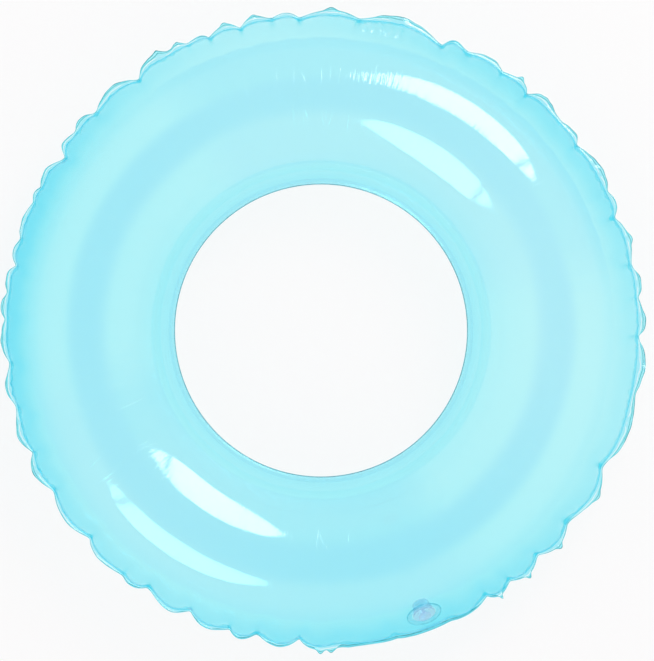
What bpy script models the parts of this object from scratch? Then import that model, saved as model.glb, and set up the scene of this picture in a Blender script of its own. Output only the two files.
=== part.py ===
"""Swim ring: two ring-shaped sheets of film, welded at both edges and blown up, with a push-in valve.

Metres, +Z up. The ring lies on its underside, with its hole on the Z axis and the valve facing up.
"""

import math
from bisect import bisect_right
from itertools import accumulate

import bmesh
import bpy
from mathutils import Matrix, Vector

COLLECTION_NAME = "swim_ring"

# Tube
HOLE_DIAMETER = 0.279
TUBE_WIDTH = 0.1585
TUBE_HEIGHT = 0.143
CREST_LEAN = 0.0053  # the tube's highest line lies this far outside the middle of its width
FILM_THICKNESS = 0.0003

# Welded seams
SEAM_THICKNESS = 0.0006
OUTER_FLANGE_WIDTH = 0.0075
OUTER_SEAM_LAP = 0.0010  # the outer seam reaches this far in under the two films' edges
OUTER_SEAM_ROOT = 0.0012  # the outer flange leaves the weld flat for this width before it curls
OUTER_FLANGE_CURL = math.radians(60)  # on the side where the flange curls up most
CURLED_SIDE = math.radians(200)
INNER_FLANGE_WIDTH = 0.0055

# Gathers of the outer seam: the share of the ring that each lobe between two gathers takes, anticlockwise
FIRST_GATHER = 6.0  # degrees from +X
LOBE_ARCS = (
    (6, 9, 5, 10, 5, 8, 6, 7, 5, 16, 11, 5)
    + (6, 6, 4, 3, 8, 10, 5, 5, 7, 3, 7, 5)
    + (5, 5, 8, 8, 9, 8, 11, 9, 5, 9, 8, 5)
    + (8, 9, 9, 10, 8, 5, 7, 8, 12, 15, 10, 7)
)
GATHER_DEPTH = 0.0060
GATHER_REACH = 0.055  # a gather's crease runs this far over the film
LOBE_BLUNTNESS = 0.6  # 1 is a plain arch, and less makes a blunter lobe with a sharper notch

# Valve's place on the upper film
VALVE_AZIMUTH = math.radians(-70)
VALVE_TURN = math.radians(145)  # turn round the tube, from the hole's edge over the top
VALVE_FLAT_MARGIN = 0.006  # the film lies flat this far round the flange
VALVE_FADE_WIDTH = 0.017

# Valve's stem and the soft web that carries it
BORE_DIAMETER = 0.0074
STEM_WALL = 0.0013
STEM_LENGTH = 0.0144
STEM_STAND = 0.0018  # the pushed-in stem's mouth stands this far above the film
COLLAR_WIDTH = 0.0015
COLLAR_THICKNESS = 0.0014
WEB_THICKNESS = 0.0008
WEB_LIP = 0.0019  # the straight lip at the web's top

# Stopper
CAP_OVERHANG = 0.0012
CAP_THICKNESS = 0.0015
CAP_CHAMFER = 0.0006
PLUG_LENGTH = 0.005
PLUG_CLEARANCE = 0.00025
PLUG_BAND = 0.0007  # the length of the plug's tight band, under the cap
PLUG_SLOPE = 0.0008  # the length of the slope on each side of the plug's waist
PLUG_WAIST_DEPTH = 0.0005
PLUG_BEAD_DEPTH = 0.00015
PLUG_TIP_LENGTH = 0.0012
PLUG_TIP_TAPER = 0.0010
STRAP_REACH = 0.0022  # the strap's loop, and the line that the stopper swings about, from the cap's edge
STRAP_WIDTH = 0.003
STRAP_THICKNESS = 0.0006

# Valve's flange, round the well that the stem is pushed into
WELL_MARGIN = 0.0026  # from the line that the stopper swings about to the well's edge
VALVE_FLANGE_WIDTH = 0.006
VALVE_FLANGE_THICKNESS = 0.0006
FILM_HOLE_MARGIN = 0.001  # the film's hole is this much wider than the well, all round
PUNCH_DEPTH = 0.012

# Check flap
FLAP_OVERLAP = 0.0013  # how far the flap covers the stem's end, all round the bore
FLAP_THICKNESS = 0.0005
FLAP_HINGE_CUT = math.radians(30)  # half of the arc that the straight hinge edge cuts off the disc

# Fits
SEAT_GAP = 0.0003
WELD_DISTANCE = 0.00001

# Smoothness
SECTION_ROWS = 11  # odd, so that the middle row is the flat band that the ring rests on
AZIMUTH_STEP = 3.0
VALVE_PATCH_STEP = 0.004  # about the distance between the film's points round the valve
SEAM_STEPS = 72
VALVE_STEPS = 32
ARC_STEPS = 8
FLAP_STEPS = 24
SMOOTH_ANGLE = math.radians(40)

# Derived
HOLE_RADIUS = HOLE_DIAMETER / 2
HALF_WIDTH = TUBE_WIDTH / 2
HALF_HEIGHT = TUBE_HEIGHT / 2
MID_RADIUS = HOLE_RADIUS + HALF_WIDTH
FILM_EDGE_HEIGHT = SEAM_THICKNESS / 2 + SEAT_GAP
FIRST_TURN = math.asin(FILM_EDGE_HEIGHT / HALF_HEIGHT)
ROW_TURN = (math.pi - 2 * FIRST_TURN) / SECTION_ROWS
EQUATOR_HEIGHT = HALF_HEIGHT * math.cos(ROW_TURN / 2)
GATHERED_TURN = math.pi - GATHER_REACH / HALF_HEIGHT
LOBE_DEGREES = tuple(360 * arc / sum(LOBE_ARCS) for arc in LOBE_ARCS)
GATHER_ANGLES = tuple(accumulate(LOBE_DEGREES, initial=FIRST_GATHER))
BORE_RADIUS = BORE_DIAMETER / 2
STEM_RADIUS = BORE_RADIUS + STEM_WALL
COLLAR_RADIUS = STEM_RADIUS + COLLAR_WIDTH
CAP_RADIUS = STEM_RADIUS + CAP_OVERHANG
FLAP_RADIUS = BORE_RADIUS + FLAP_OVERLAP
STOPPER_HINGE_REACH = CAP_RADIUS + STRAP_REACH
WELL_RADIUS = STOPPER_HINGE_REACH + WELL_MARGIN
VALVE_FLANGE_RADIUS = WELL_RADIUS + VALVE_FLANGE_WIDTH
VALVE_FLAT_RADIUS = VALVE_FLANGE_RADIUS + VALVE_FLAT_MARGIN
VALVE_FADE_RADIUS = VALVE_FLAT_RADIUS + VALVE_FADE_WIDTH
FLANGE_TOP = SEAT_GAP + VALVE_FLANGE_THICKNESS
STEM_FOOT = STEM_STAND - STEM_LENGTH
CAP_BASE = STEM_STAND + SEAT_GAP
STOPPER_HINGE_HEIGHT = CAP_BASE - PLUG_LENGTH / 2
FLAP_TOP = STEM_FOOT - SEAT_GAP
FLAP_HINGE_REACH = FLAP_RADIUS * math.cos(FLAP_HINGE_CUT)


def lobe_azimuths():
    """Return the angles round the ring at which the films are sampled, with one on every gather."""
    azimuths = []
    for start, arc in zip(GATHER_ANGLES, LOBE_DEGREES):
        steps = max(2, round(arc / AZIMUTH_STEP))
        azimuths += [math.radians(start + arc * step / steps) for step in range(steps)]
    azimuths.append(math.radians(GATHER_ANGLES[-1]))
    return azimuths


def lobe_swell(azimuth):
    """Return 0 on a gather and 1 in the middle of a lobe: a power of a half sine wave over the lobe's arc."""
    degrees = FIRST_GATHER + (math.degrees(azimuth) - FIRST_GATHER) % 360
    lobe = min(bisect_right(GATHER_ANGLES, degrees), len(LOBE_DEGREES)) - 1
    share = (degrees - GATHER_ANGLES[lobe]) / LOBE_DEGREES[lobe]
    return max(0.0, math.sin(math.pi * share)) ** LOBE_BLUNTNESS


def section(turn):
    """Return the distance from the ring's axis and the height above its equator: a leaning ellipse."""
    radius = MID_RADIUS - HALF_WIDTH * math.cos(turn) + CREST_LEAN * math.sin(turn) ** 2
    return radius, HALF_HEIGHT * math.sin(turn)


def round_ring(azimuth, radius, height):
    """Return the point at an angle round the ring, a distance from its axis and a height."""
    return Vector((radius * math.cos(azimuth), radius * math.sin(azimuth), height))


def gather_pull(azimuth, turn):
    """Return how far the gathers draw the film in: all of their depth at the weld, fading over their reach."""
    share = max(0.0, (turn - GATHERED_TURN) / (math.pi - GATHERED_TURN))
    return GATHER_DEPTH * (1 - lobe_swell(azimuth)) * share**2


def valve_frame():
    """Return the valve's frame: X down the film towards the rim, Z out of the film, origin on the film."""
    radius, height = section(VALVE_TURN)
    run = HALF_WIDTH * math.sin(VALVE_TURN) + CREST_LEAN * math.sin(2 * VALVE_TURN)
    rise = HALF_HEIGHT * math.cos(VALVE_TURN)
    down = round_ring(VALVE_AZIMUTH, run, rise).normalized()
    out = round_ring(VALVE_AZIMUTH, -rise, run).normalized()
    frame = Matrix((down, out.cross(down), out)).transposed().to_4x4()
    frame.translation = round_ring(VALVE_AZIMUTH, radius, height)
    return frame


def flatten_at_valve(point, frame):
    """Return the point moved onto the valve's plane, wholly under the flange and less and less round it."""
    local = frame.inverted() @ point
    distance = math.hypot(local.x, local.y)
    share = (VALVE_FADE_RADIUS - distance) / VALVE_FADE_WIDTH
    share = min(1.0, max(0.0, share))
    local.z *= 1 - share * share * (3 - 2 * share)
    return frame @ local


def film_point(azimuth, turn, side):
    """Return a point of the blown-up film: the tube's section less the gathers' pull, above or below."""
    radius, height = section(turn)
    return round_ring(azimuth, radius - gather_pull(azimuth, turn), side * height)


def outer_seam_point(azimuth, place):
    """Return a point of the outer seam's middle surface; place is 0 inside, 1 at its root, 2 at its rim."""
    weld_radius = MID_RADIUS + HALF_WIDTH - gather_pull(azimuth, math.pi)
    curl = OUTER_FLANGE_CURL * (1 + math.cos(azimuth - CURLED_SIDE)) / 2
    free_width = OUTER_FLANGE_WIDTH - OUTER_SEAM_ROOT
    offsets = (-OUTER_SEAM_LAP, OUTER_SEAM_ROOT, OUTER_SEAM_ROOT + free_width * math.cos(curl))
    heights = (0.0, 0.0, free_width * math.sin(curl))
    return round_ring(azimuth, weld_radius + offsets[place], heights[place])


def material(name, colour, roughness, alpha=1.0):
    """Return a plain coloured material for the preview of one kind of plastic."""
    made = bpy.data.materials.new(name)
    made.use_nodes = True
    shader = made.node_tree.nodes["Principled BSDF"]
    shader.inputs["Base Color"].default_value = (*colour, 1.0)
    shader.inputs["Roughness"].default_value = roughness
    shader.inputs["Metallic"].default_value = 0.0
    shader.inputs["Alpha"].default_value = alpha
    return made


def add_object(name, data, finish, parent, collection):
    """Link a named object under its parent, in the collection, with its material."""
    made = bpy.data.objects.new(name, data)
    if finish:
        data.materials.append(finish)
    made.parent = parent
    collection.objects.link(made)
    return made


def add_empty(name, parent, collection, matrix):
    """Link an empty that carries pieces, placed by a matrix in its parent's frame."""
    made = bpy.data.objects.new(name, None)
    made.empty_display_size = WELL_RADIUS
    made.parent = parent
    made.matrix_local = matrix
    collection.objects.link(made)
    return made


def grid_sheet(columns, rows):
    """Return an open grid whose points have X from 0 to columns and Y from 0 to rows."""
    sheet = bmesh.new()
    bmesh.ops.create_grid(sheet, x_segments=columns, y_segments=rows, size=1)
    for vertex in sheet.verts:
        vertex.co.x = (vertex.co.x + 1) / 2 * columns
        vertex.co.y = (vertex.co.y + 1) / 2 * rows
    return sheet


def azimuth_at(azimuths, column):
    """Return the angle at a column of the grid, between the listed ones for a column that isn't whole."""
    low = min(int(column + WELD_DISTANCE), len(azimuths) - 2)
    return azimuths[low] + (azimuths[low + 1] - azimuths[low]) * (column - low)


def close_sheet(name, sheet, outward_up):
    """Weld the sheet's two ends round the ring, split it into triangles and return its mesh."""
    bmesh.ops.remove_doubles(sheet, verts=sheet.verts, dist=WELD_DISTANCE)
    if outward_up:
        bmesh.ops.reverse_faces(sheet, faces=sheet.faces)
    bmesh.ops.triangulate(sheet, faces=sheet.faces)
    data = bpy.data.meshes.new(name)
    sheet.to_mesh(data)
    sheet.free()
    data.shade_smooth()
    data.set_sharp_from_angle(angle=SMOOTH_ANGLE)
    return data


def thicken(target, thickness, offset):
    """Give an open sheet its thickness; offset -1 grows it inwards and 0 both ways."""
    solid = target.modifiers.new("thickness", "SOLIDIFY")
    solid.thickness = thickness
    solid.offset = offset
    solid.use_even_offset = True
    return solid


def film_panel(name, side, finish, parent, collection, valve_at=None):
    """Build one of the two films: a grid in angle and turn, laid over the blown-up tube."""
    azimuths = lobe_azimuths()
    sheet = grid_sheet(len(azimuths) - 1, SECTION_ROWS)

    def place(grid_point):
        azimuth = azimuth_at(azimuths, grid_point.x)
        return film_point(azimuth, FIRST_TURN + ROW_TURN * grid_point.y, side)

    if valve_at:
        centre = valve_at.translation
        near = {v for v in sheet.verts if (place(v.co) - centre).length < VALVE_FADE_RADIUS}
        patch = [e for e in sheet.edges if near.issuperset(e.verts)]
        cuts = max(1, round(MID_RADIUS * math.radians(AZIMUTH_STEP) / VALVE_PATCH_STEP) - 1)
        bmesh.ops.subdivide_edges(sheet, edges=patch, cuts=cuts, use_grid_fill=True)
    for vertex in sheet.verts:
        vertex.co = place(vertex.co)
        if valve_at:
            vertex.co = flatten_at_valve(vertex.co, valve_at)
    made = add_object(name, close_sheet(name, sheet, side > 0), finish, parent, collection)
    thicken(made, FILM_THICKNESS, -1)
    return made


def outer_weld_seam(finish, parent, collection):
    """Build the fused edge of both films outside the tube, which follows the gathers and curls up."""
    azimuths = lobe_azimuths()
    sheet = grid_sheet(len(azimuths) - 1, 2)
    for vertex in sheet.verts:
        vertex.co = outer_seam_point(azimuth_at(azimuths, vertex.co.x), round(vertex.co.y))
    name = "outer_weld_seam"
    made = add_object(name, close_sheet(name, sheet, True), finish, parent, collection)
    thicken(made, SEAM_THICKNESS, 0)
    return made


def turned(name, profile, steps, finish, parent, collection, closed=True):
    """Build a turned piece from (radius, height) points that run down its outer side.

    The turned mesh is taken over from its modifier, so that its sharp edges can be marked.
    """
    data = bpy.data.meshes.new(name)
    points = [(radius, 0.0, height) for radius, height in profile]
    edges = [(i, i + 1) for i in range(len(points) - 1)]
    if closed:
        edges.append((len(points) - 1, 0))
    data.from_pydata(points, edges, [])
    made = add_object(name, data, finish, parent, collection)
    screw = made.modifiers.new("turn", "SCREW")
    screw.steps = steps
    screw.render_steps = steps
    screw.use_merge_vertices = True
    screw.merge_threshold = WELD_DISTANCE
    depsgraph = bpy.context.evaluated_depsgraph_get()
    solid = bpy.data.meshes.new_from_object(made.evaluated_get(depsgraph))
    made.modifiers.clear()
    made.data = solid
    solid.shade_smooth()
    solid.set_sharp_from_angle(angle=SMOOTH_ANGLE)
    return made


def flat_band_profile(inner, outer, bottom, top):
    """Return the profile of a flat ring: inner top, outer top, outer bottom, inner bottom."""
    return ((inner, top), (outer, top), (outer, bottom), (inner, bottom))


def inner_weld_seam(finish, parent, collection):
    """Build the fused edge of both films round the hole, whose flange lies inside the air chamber."""
    half = SEAM_THICKNESS / 2
    profile = flat_band_profile(HOLE_RADIUS, HOLE_RADIUS + INNER_FLANGE_WIDTH, -half, half)
    return turned("inner_weld_seam", profile, SEAM_STEPS, finish, parent, collection)


def valve_flange(finish, parent, collection):
    """Build the flat flange that is bonded on the film round the well."""
    profile = flat_band_profile(WELL_RADIUS, VALVE_FLANGE_RADIUS, SEAT_GAP, FLANGE_TOP)
    return turned("valve_flange", profile, VALVE_STEPS, finish, parent, collection)


def valve_web(finish, parent, collection):
    """Build the soft cone that hangs from the flange and carries the stem's collar."""
    lip_outer = WELL_RADIUS - SEAT_GAP
    foot_inner = COLLAR_RADIUS + SEAT_GAP
    lip_bottom = FLANGE_TOP - WEB_LIP
    profile = (
        (lip_outer - WEB_THICKNESS, FLANGE_TOP),
        (lip_outer, FLANGE_TOP),
        (lip_outer, lip_bottom),
        (foot_inner + WEB_THICKNESS, STEM_FOOT),
        (foot_inner, STEM_FOOT),
        (foot_inner, STEM_FOOT + COLLAR_THICKNESS),
        (lip_outer - WEB_THICKNESS, lip_bottom),
    )
    return turned("valve_web", profile, VALVE_STEPS, finish, parent, collection)


def valve_stem(finish, parent, collection):
    """Build the tube that is blown into, with the collar at its foot."""
    collar_top = STEM_FOOT + COLLAR_THICKNESS
    profile = (
        (BORE_RADIUS, STEM_STAND),
        (STEM_RADIUS, STEM_STAND),
        (STEM_RADIUS, collar_top),
        (COLLAR_RADIUS, collar_top),
        (COLLAR_RADIUS, STEM_FOOT),
        (BORE_RADIUS, STEM_FOOT),
    )
    return turned("valve_stem", profile, VALVE_STEPS, finish, parent, collection)


def stopper(finish, pivot, collection):
    """Build the cap and its plug: a tight band under the cap, a waist, a bead and a tapered tip."""
    band = BORE_RADIUS - PLUG_CLEARANCE
    waist = band - PLUG_WAIST_DEPTH
    bead = band - PLUG_BEAD_DEPTH
    cap_top = CAP_BASE + CAP_THICKNESS
    tip = CAP_BASE - PLUG_LENGTH
    profile = (
        (0.0, cap_top),
        (CAP_RADIUS - CAP_CHAMFER, cap_top),
        (CAP_RADIUS, cap_top - CAP_CHAMFER),
        (CAP_RADIUS, CAP_BASE),
        (band, CAP_BASE),
        (band, CAP_BASE - PLUG_BAND),
        (waist, CAP_BASE - PLUG_BAND - PLUG_SLOPE),
        (waist, tip + PLUG_TIP_LENGTH + PLUG_SLOPE),
        (bead, tip + PLUG_TIP_LENGTH),
        (bead - PLUG_TIP_TAPER, tip),
        (0.0, tip),
    )
    made = turned("stopper", profile, VALVE_STEPS, finish, pivot, collection, closed=False)
    made.location = (STOPPER_HINGE_REACH, 0.0, -STOPPER_HINGE_HEIGHT)
    return made


def flat_outline(name, points, thickness, finish, parent, collection):
    """Build a flat piece of a given thickness from its outline."""
    outline = bpy.data.curves.new(name, "CURVE")
    outline.dimensions = "2D"
    outline.fill_mode = "BOTH"
    outline.extrude = thickness / 2
    spline = outline.splines.new("POLY")
    spline.points.add(len(points) - 1)
    for point, (x, y) in zip(spline.points, points):
        point.co = (x, y, 0.0, 1.0)
    spline.use_cyclic_u = True
    return add_object(name, outline, finish, parent, collection)


def arc(centre, radius, start, end, steps):
    """Return points along an arc, from the start angle to the end angle."""
    angles = [start + (end - start) * step / steps for step in range(steps + 1)]
    return [(centre[0] + radius * math.cos(a), centre[1] + radius * math.sin(a)) for a in angles]


def stopper_strap(finish, parent, collection):
    """Build the strap: from the stem's wall, round in a loop, to the cap's edge."""
    root = STEM_RADIUS + SEAT_GAP
    cap_end = CAP_RADIUS + SEAT_GAP
    cap_middle = CAP_BASE + (CAP_THICKNESS - CAP_CHAMFER) / 2
    low = cap_middle - 2 * STRAP_REACH
    centre = (-cap_end - STRAP_THICKNESS, cap_middle - STRAP_REACH)
    half = STRAP_THICKNESS / 2
    outer = arc(centre, STRAP_REACH + half, -math.pi / 2, -3 * math.pi / 2, ARC_STEPS)
    inner = arc(centre, STRAP_REACH - half, -3 * math.pi / 2, -math.pi / 2, ARC_STEPS)
    outline = [(-root, low - half), *outer, (-cap_end, cap_middle + half)]
    outline += [(-cap_end, cap_middle - half), *inner, (-root, low + half)]
    made = flat_outline("stopper_strap", outline, STRAP_WIDTH, finish, parent, collection)
    made.rotation_euler.x = math.pi / 2
    return made


def check_flap(finish, pivot, collection):
    """Build the flap: a disc whose near edge is cut straight where it hinges."""
    cut = math.pi - FLAP_HINGE_CUT
    points = arc((FLAP_HINGE_REACH, 0.0), FLAP_RADIUS, -cut, cut, FLAP_STEPS)
    made = flat_outline("check_flap", points, FLAP_THICKNESS, finish, pivot, collection)
    made.location.z = -FLAP_THICKNESS / 2
    return made


def punch_valve_hole(panel, parent, cutters):
    """Cut the round hole of the valve's well out of the upper film."""
    bpy.ops.mesh.primitive_cylinder_add(
        vertices=VALVE_STEPS, radius=WELL_RADIUS + FILM_HOLE_MARGIN, depth=PUNCH_DEPTH
    )
    cutter = bpy.context.object
    cutter.name = "valve_hole_cutter"
    for holder in cutter.users_collection:
        holder.objects.unlink(cutter)
    cutters.objects.link(cutter)
    cutter.parent = parent
    cutter.hide_render = True
    cutter.display_type = "WIRE"
    cut = panel.modifiers.new("valve_hole", "BOOLEAN")
    cut.operation = "DIFFERENCE"
    cut.object = cutter


def main():
    """Clear the scene and build the ring, its seams and its valve under their empties."""
    for old in list(bpy.data.objects):
        bpy.data.objects.remove(old)
    parts = bpy.data.collections.new(COLLECTION_NAME)
    cutters = bpy.data.collections.new("cutters")
    bpy.context.scene.collection.children.link(parts)
    bpy.context.scene.collection.children.link(cutters)

    film = material("blue_film", (0.30, 0.86, 0.95), 0.12, 0.55)
    weld = material("weld_band", (0.14, 0.72, 0.82), 0.25, 0.75)
    clear = material("clear_valve_plastic", (0.62, 0.86, 0.96), 0.22, 0.70)
    milky = material("milky_stopper_plastic", (0.68, 0.80, 0.97), 0.25, 0.90)

    frame = valve_frame()
    ring = add_empty("ring_equator", None, parts, Matrix.Translation((0, 0, EQUATOR_HEIGHT)))
    valve = add_empty("valve_seat", ring, parts, frame)
    stem = add_empty("stem_slide", valve, parts, Matrix.Identity(4))
    stopper_pivot = add_empty(
        "stopper_pivot", stem, parts, Matrix.Translation((-STOPPER_HINGE_REACH, 0, STOPPER_HINGE_HEIGHT))
    )
    flap_pivot = add_empty(
        "flap_pivot", stem, parts, Matrix.Translation((-FLAP_HINGE_REACH, 0, FLAP_TOP))
    )

    upper = film_panel("upper_panel", 1, film, ring, parts, frame)
    punch_valve_hole(upper, valve, cutters)
    film_panel("lower_panel", -1, film, ring, parts)
    outer_weld_seam(weld, ring, parts)
    inner_weld_seam(weld, ring, parts)
    valve_flange(clear, valve, parts)
    valve_web(clear, valve, parts)
    valve_stem(clear, stem, parts)
    stopper(milky, stopper_pivot, parts)
    stopper_strap(milky, stem, parts)
    check_flap(clear, flap_pivot, parts)


main()
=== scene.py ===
"""Swim ring: the finished look of a ring of blown-up, see-through blue film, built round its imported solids.

Metres, +Z up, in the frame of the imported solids: the ring lies on its underside with its hole on the Z axis.
Angles round the ring run anticlockwise from +X. The turn round the tube runs from 0 at the hole's edge, over
the top, to half a circle at the outer weld.
"""

import logging
import math
from dataclasses import dataclass, field
from enum import Enum
from functools import reduce
from typing import Any

import bmesh
import bpy
import numpy as np
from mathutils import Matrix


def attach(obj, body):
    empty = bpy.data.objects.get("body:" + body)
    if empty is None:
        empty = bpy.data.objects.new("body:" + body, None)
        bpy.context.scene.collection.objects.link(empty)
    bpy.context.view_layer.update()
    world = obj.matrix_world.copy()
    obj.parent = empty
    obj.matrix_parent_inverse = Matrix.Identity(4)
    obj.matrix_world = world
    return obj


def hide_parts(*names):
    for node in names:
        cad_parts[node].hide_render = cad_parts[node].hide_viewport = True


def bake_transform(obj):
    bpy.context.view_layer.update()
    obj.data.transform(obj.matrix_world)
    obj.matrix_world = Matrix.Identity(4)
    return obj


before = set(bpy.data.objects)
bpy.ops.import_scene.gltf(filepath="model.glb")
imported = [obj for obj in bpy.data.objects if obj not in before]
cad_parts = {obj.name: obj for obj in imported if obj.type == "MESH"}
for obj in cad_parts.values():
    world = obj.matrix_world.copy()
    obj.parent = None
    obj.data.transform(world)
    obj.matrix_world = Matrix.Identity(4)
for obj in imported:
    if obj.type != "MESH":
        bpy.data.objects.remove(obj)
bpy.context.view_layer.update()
FILM_UV = "film_uv"
GATHER = "gathered"
FULL_TURN = 2 * math.pi
MILLIMETRE = 0.001
SHARP_ANGLE = math.radians(48)
AT_POLE = 1e-7  # metres from the axis within which a point is a pole
AS_ONE = 1e-6  # metres within which the points of a pole are merged

Array = np.ndarray
Pair = tuple[Array, Array]
Mesh = bpy.types.Mesh
Socket = bpy.types.NodeSocket
Colour = tuple[float, float, float]
Span = tuple[float, float]
Ramp = tuple[float, float, float, float]  # from low to high, and the values at both ends
Swings = tuple[tuple[int, float, float], ...]
Profile = tuple[Span, ...]

log = logging.getLogger("swim_ring")


class Side(Enum):
    """Which of the two film panels a surface belongs to."""

    UPPER = 1
    LOWER = -1


class Slot(Enum):
    """The record's material slots."""

    FILM = "blue_film"
    WELD = "weld_band"
    CLEAR = "clear_valve_plastic"
    MILKY = "milky_stopper_plastic"


class Body(Enum):
    """The bodies that pieces ride on."""

    RING = "ring"
    STEM = "stem"
    STOPPER = "stopper"


def smoothstep(value: Array) -> Array:
    """Ease a share from 0 to 1: 3 s^2 - 2 s^3, flat outside that range.

    Args:
        value: shares, of any size.

    Returns:
        The eased shares.
    """
    share = np.clip(value, 0.0, 1.0)
    return share * share * (3 - 2 * share)


def turned_away(angle: Array, middle: float) -> Array:
    """Return how far angles lie from a middle angle, from minus to plus half a circle."""
    return np.mod(angle - middle + math.pi, FULL_TURN) - math.pi


def around(columns: int) -> Array:
    """Return even angles round an axis, from 0."""
    return np.linspace(0.0, FULL_TURN, columns, endpoint=False)


def carried(radius: Array, angle: Array, height: Array) -> Array:
    """Return points from radii, angles and heights, columns x rows x 3."""
    parts = np.broadcast_arrays(radius * np.cos(angle), radius * np.sin(angle), height)
    return np.stack(parts, axis=2)


def left_of(path: Array) -> Array:
    """Return the unit normals to the left of plane curves, whose points run along the last axis but one.

    Args:
        path: the curves' points, 2 numbers each along the last axis.

    Returns:
        Normals of the same size.
    """
    tangent = np.gradient(path, axis=-2)
    normal = np.stack([-tangent[..., 1], tangent[..., 0]], axis=-1)
    return normal / np.linalg.norm(normal, axis=-1, keepdims=True)


def surface_normals(points: Array) -> Array:
    """Return the unit normals of a grid of points, from the cross product of its differences both ways.

    Args:
        points: columns x rows x 3, the columns closed round the ring.

    Returns:
        Normals of the same size, to the left of the rows' direction as seen along the columns.
    """
    along = np.roll(points, -1, axis=0) - np.roll(points, 1, axis=0)
    normals = np.cross(np.gradient(points, axis=1), along)
    return normals / np.linalg.norm(normals, axis=2, keepdims=True)


def grid_mesh(
    name: str,
    points: Array,
    u_lines: Array,
    v_lines: Array,
    wrap_columns: bool = True,
    gathered: Array | None = None,
) -> Mesh:
    """Make a mesh from a grid whose rows are closed into a loop, such as a section carried round an axis.

    A quad joins each point to the next row and the next column. Where the columns aren't closed, the first
    and last loops are filled with a face each.

    Args:
        name: the mesh's name.
        points: columns x rows x 3.
        u_lines: the U value of each column, and one more where the columns are closed.
        v_lines: the V value of each row, and one more for the row that closes the loop.
        wrap_columns: whether the last column is joined to the first.
        gathered: how tightly the film is gathered at each point, or None.

    Returns:
        The mesh, shaded smooth with its sharp edges marked.
    """
    columns, rows = points.shape[:2]
    last = columns if wrap_columns else columns - 1
    column, row = np.meshgrid(np.arange(last), np.arange(rows), indexing="ij")
    next_column, next_row = (column + 1) % columns, (row + 1) % rows
    here, there = column * rows, next_column * rows
    loops = np.stack([here + row, here + next_row, there + next_row, there + row], axis=2).ravel()
    u_corners = u_lines[np.stack([column, column, column + 1, column + 1], axis=2)]
    v_corners = v_lines[np.stack([row, row + 1, row + 1, row], axis=2)]
    uv = np.stack([u_corners.ravel(), v_corners.ravel()], axis=1)
    starts = np.arange(last * rows) * 4
    if not wrap_columns:
        middle_uv = 0.5
        ends = [np.arange(rows)[::-1], (columns - 1) * rows + np.arange(rows)]
        starts = np.append(starts, [len(loops), len(loops) + rows])
        loops = np.concatenate([loops, *ends])
        uv = np.concatenate([uv, np.full((2 * rows, 2), middle_uv)])
    data = bpy.data.meshes.new(name)
    data.vertices.add(columns * rows)
    data.vertices.foreach_set("co", points.reshape(-1).astype(np.float32))
    data.loops.add(len(loops))
    data.loops.foreach_set("vertex_index", loops.astype(np.int32))
    data.polygons.add(len(starts))
    data.polygons.foreach_set("loop_start", starts.astype(np.int32))
    data.update(calc_edges=True)
    data.validate()
    layer = data.uv_layers.new(name=FILM_UV)
    layer.data.foreach_set("uv", uv.astype(np.float32).ravel())
    if gathered is not None:
        marks = data.attributes.new(GATHER, "FLOAT", "POINT")
        marks.data.foreach_set("value", gathered.astype(np.float32).ravel())
    data.shade_smooth()
    data.set_sharp_from_angle(angle=SHARP_ANGLE)
    return data


def add_object(name: str, data: bpy.types.ID) -> bpy.types.Object:
    """Link new object data to the scene and return its object.

    Args:
        name: the object's name.
        data: its mesh, lamp or camera.

    Returns:
        The object, at the origin.
    """
    made = bpy.data.objects.new(name, data)
    bpy.context.scene.collection.objects.link(made)
    return made


def add_piece(
    data: Mesh, finish: bpy.types.Material, nodes: tuple[str, ...]
) -> bpy.types.Object:
    """Link a finished mesh as a piece at the origin, and hide the solids that it stands for.

    Args:
        data: the mesh, in the frame of the solids.
        finish: its material.
        nodes: the solids that it replaces.

    Returns:
        The piece's object.
    """
    made = add_object(data.name, data)
    data.materials.append(finish)
    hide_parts(*nodes)
    log.info("%s: %d faces", made.name, len(data.polygons))
    return made


def opaque(colour: Colour, share: float = 1.0) -> tuple[float, float, float, float]:
    """Return a colour, scaled by a share, with an alpha of 1."""
    return (colour[0] * share, colour[1] * share, colour[2] * share, 1.0)


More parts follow.
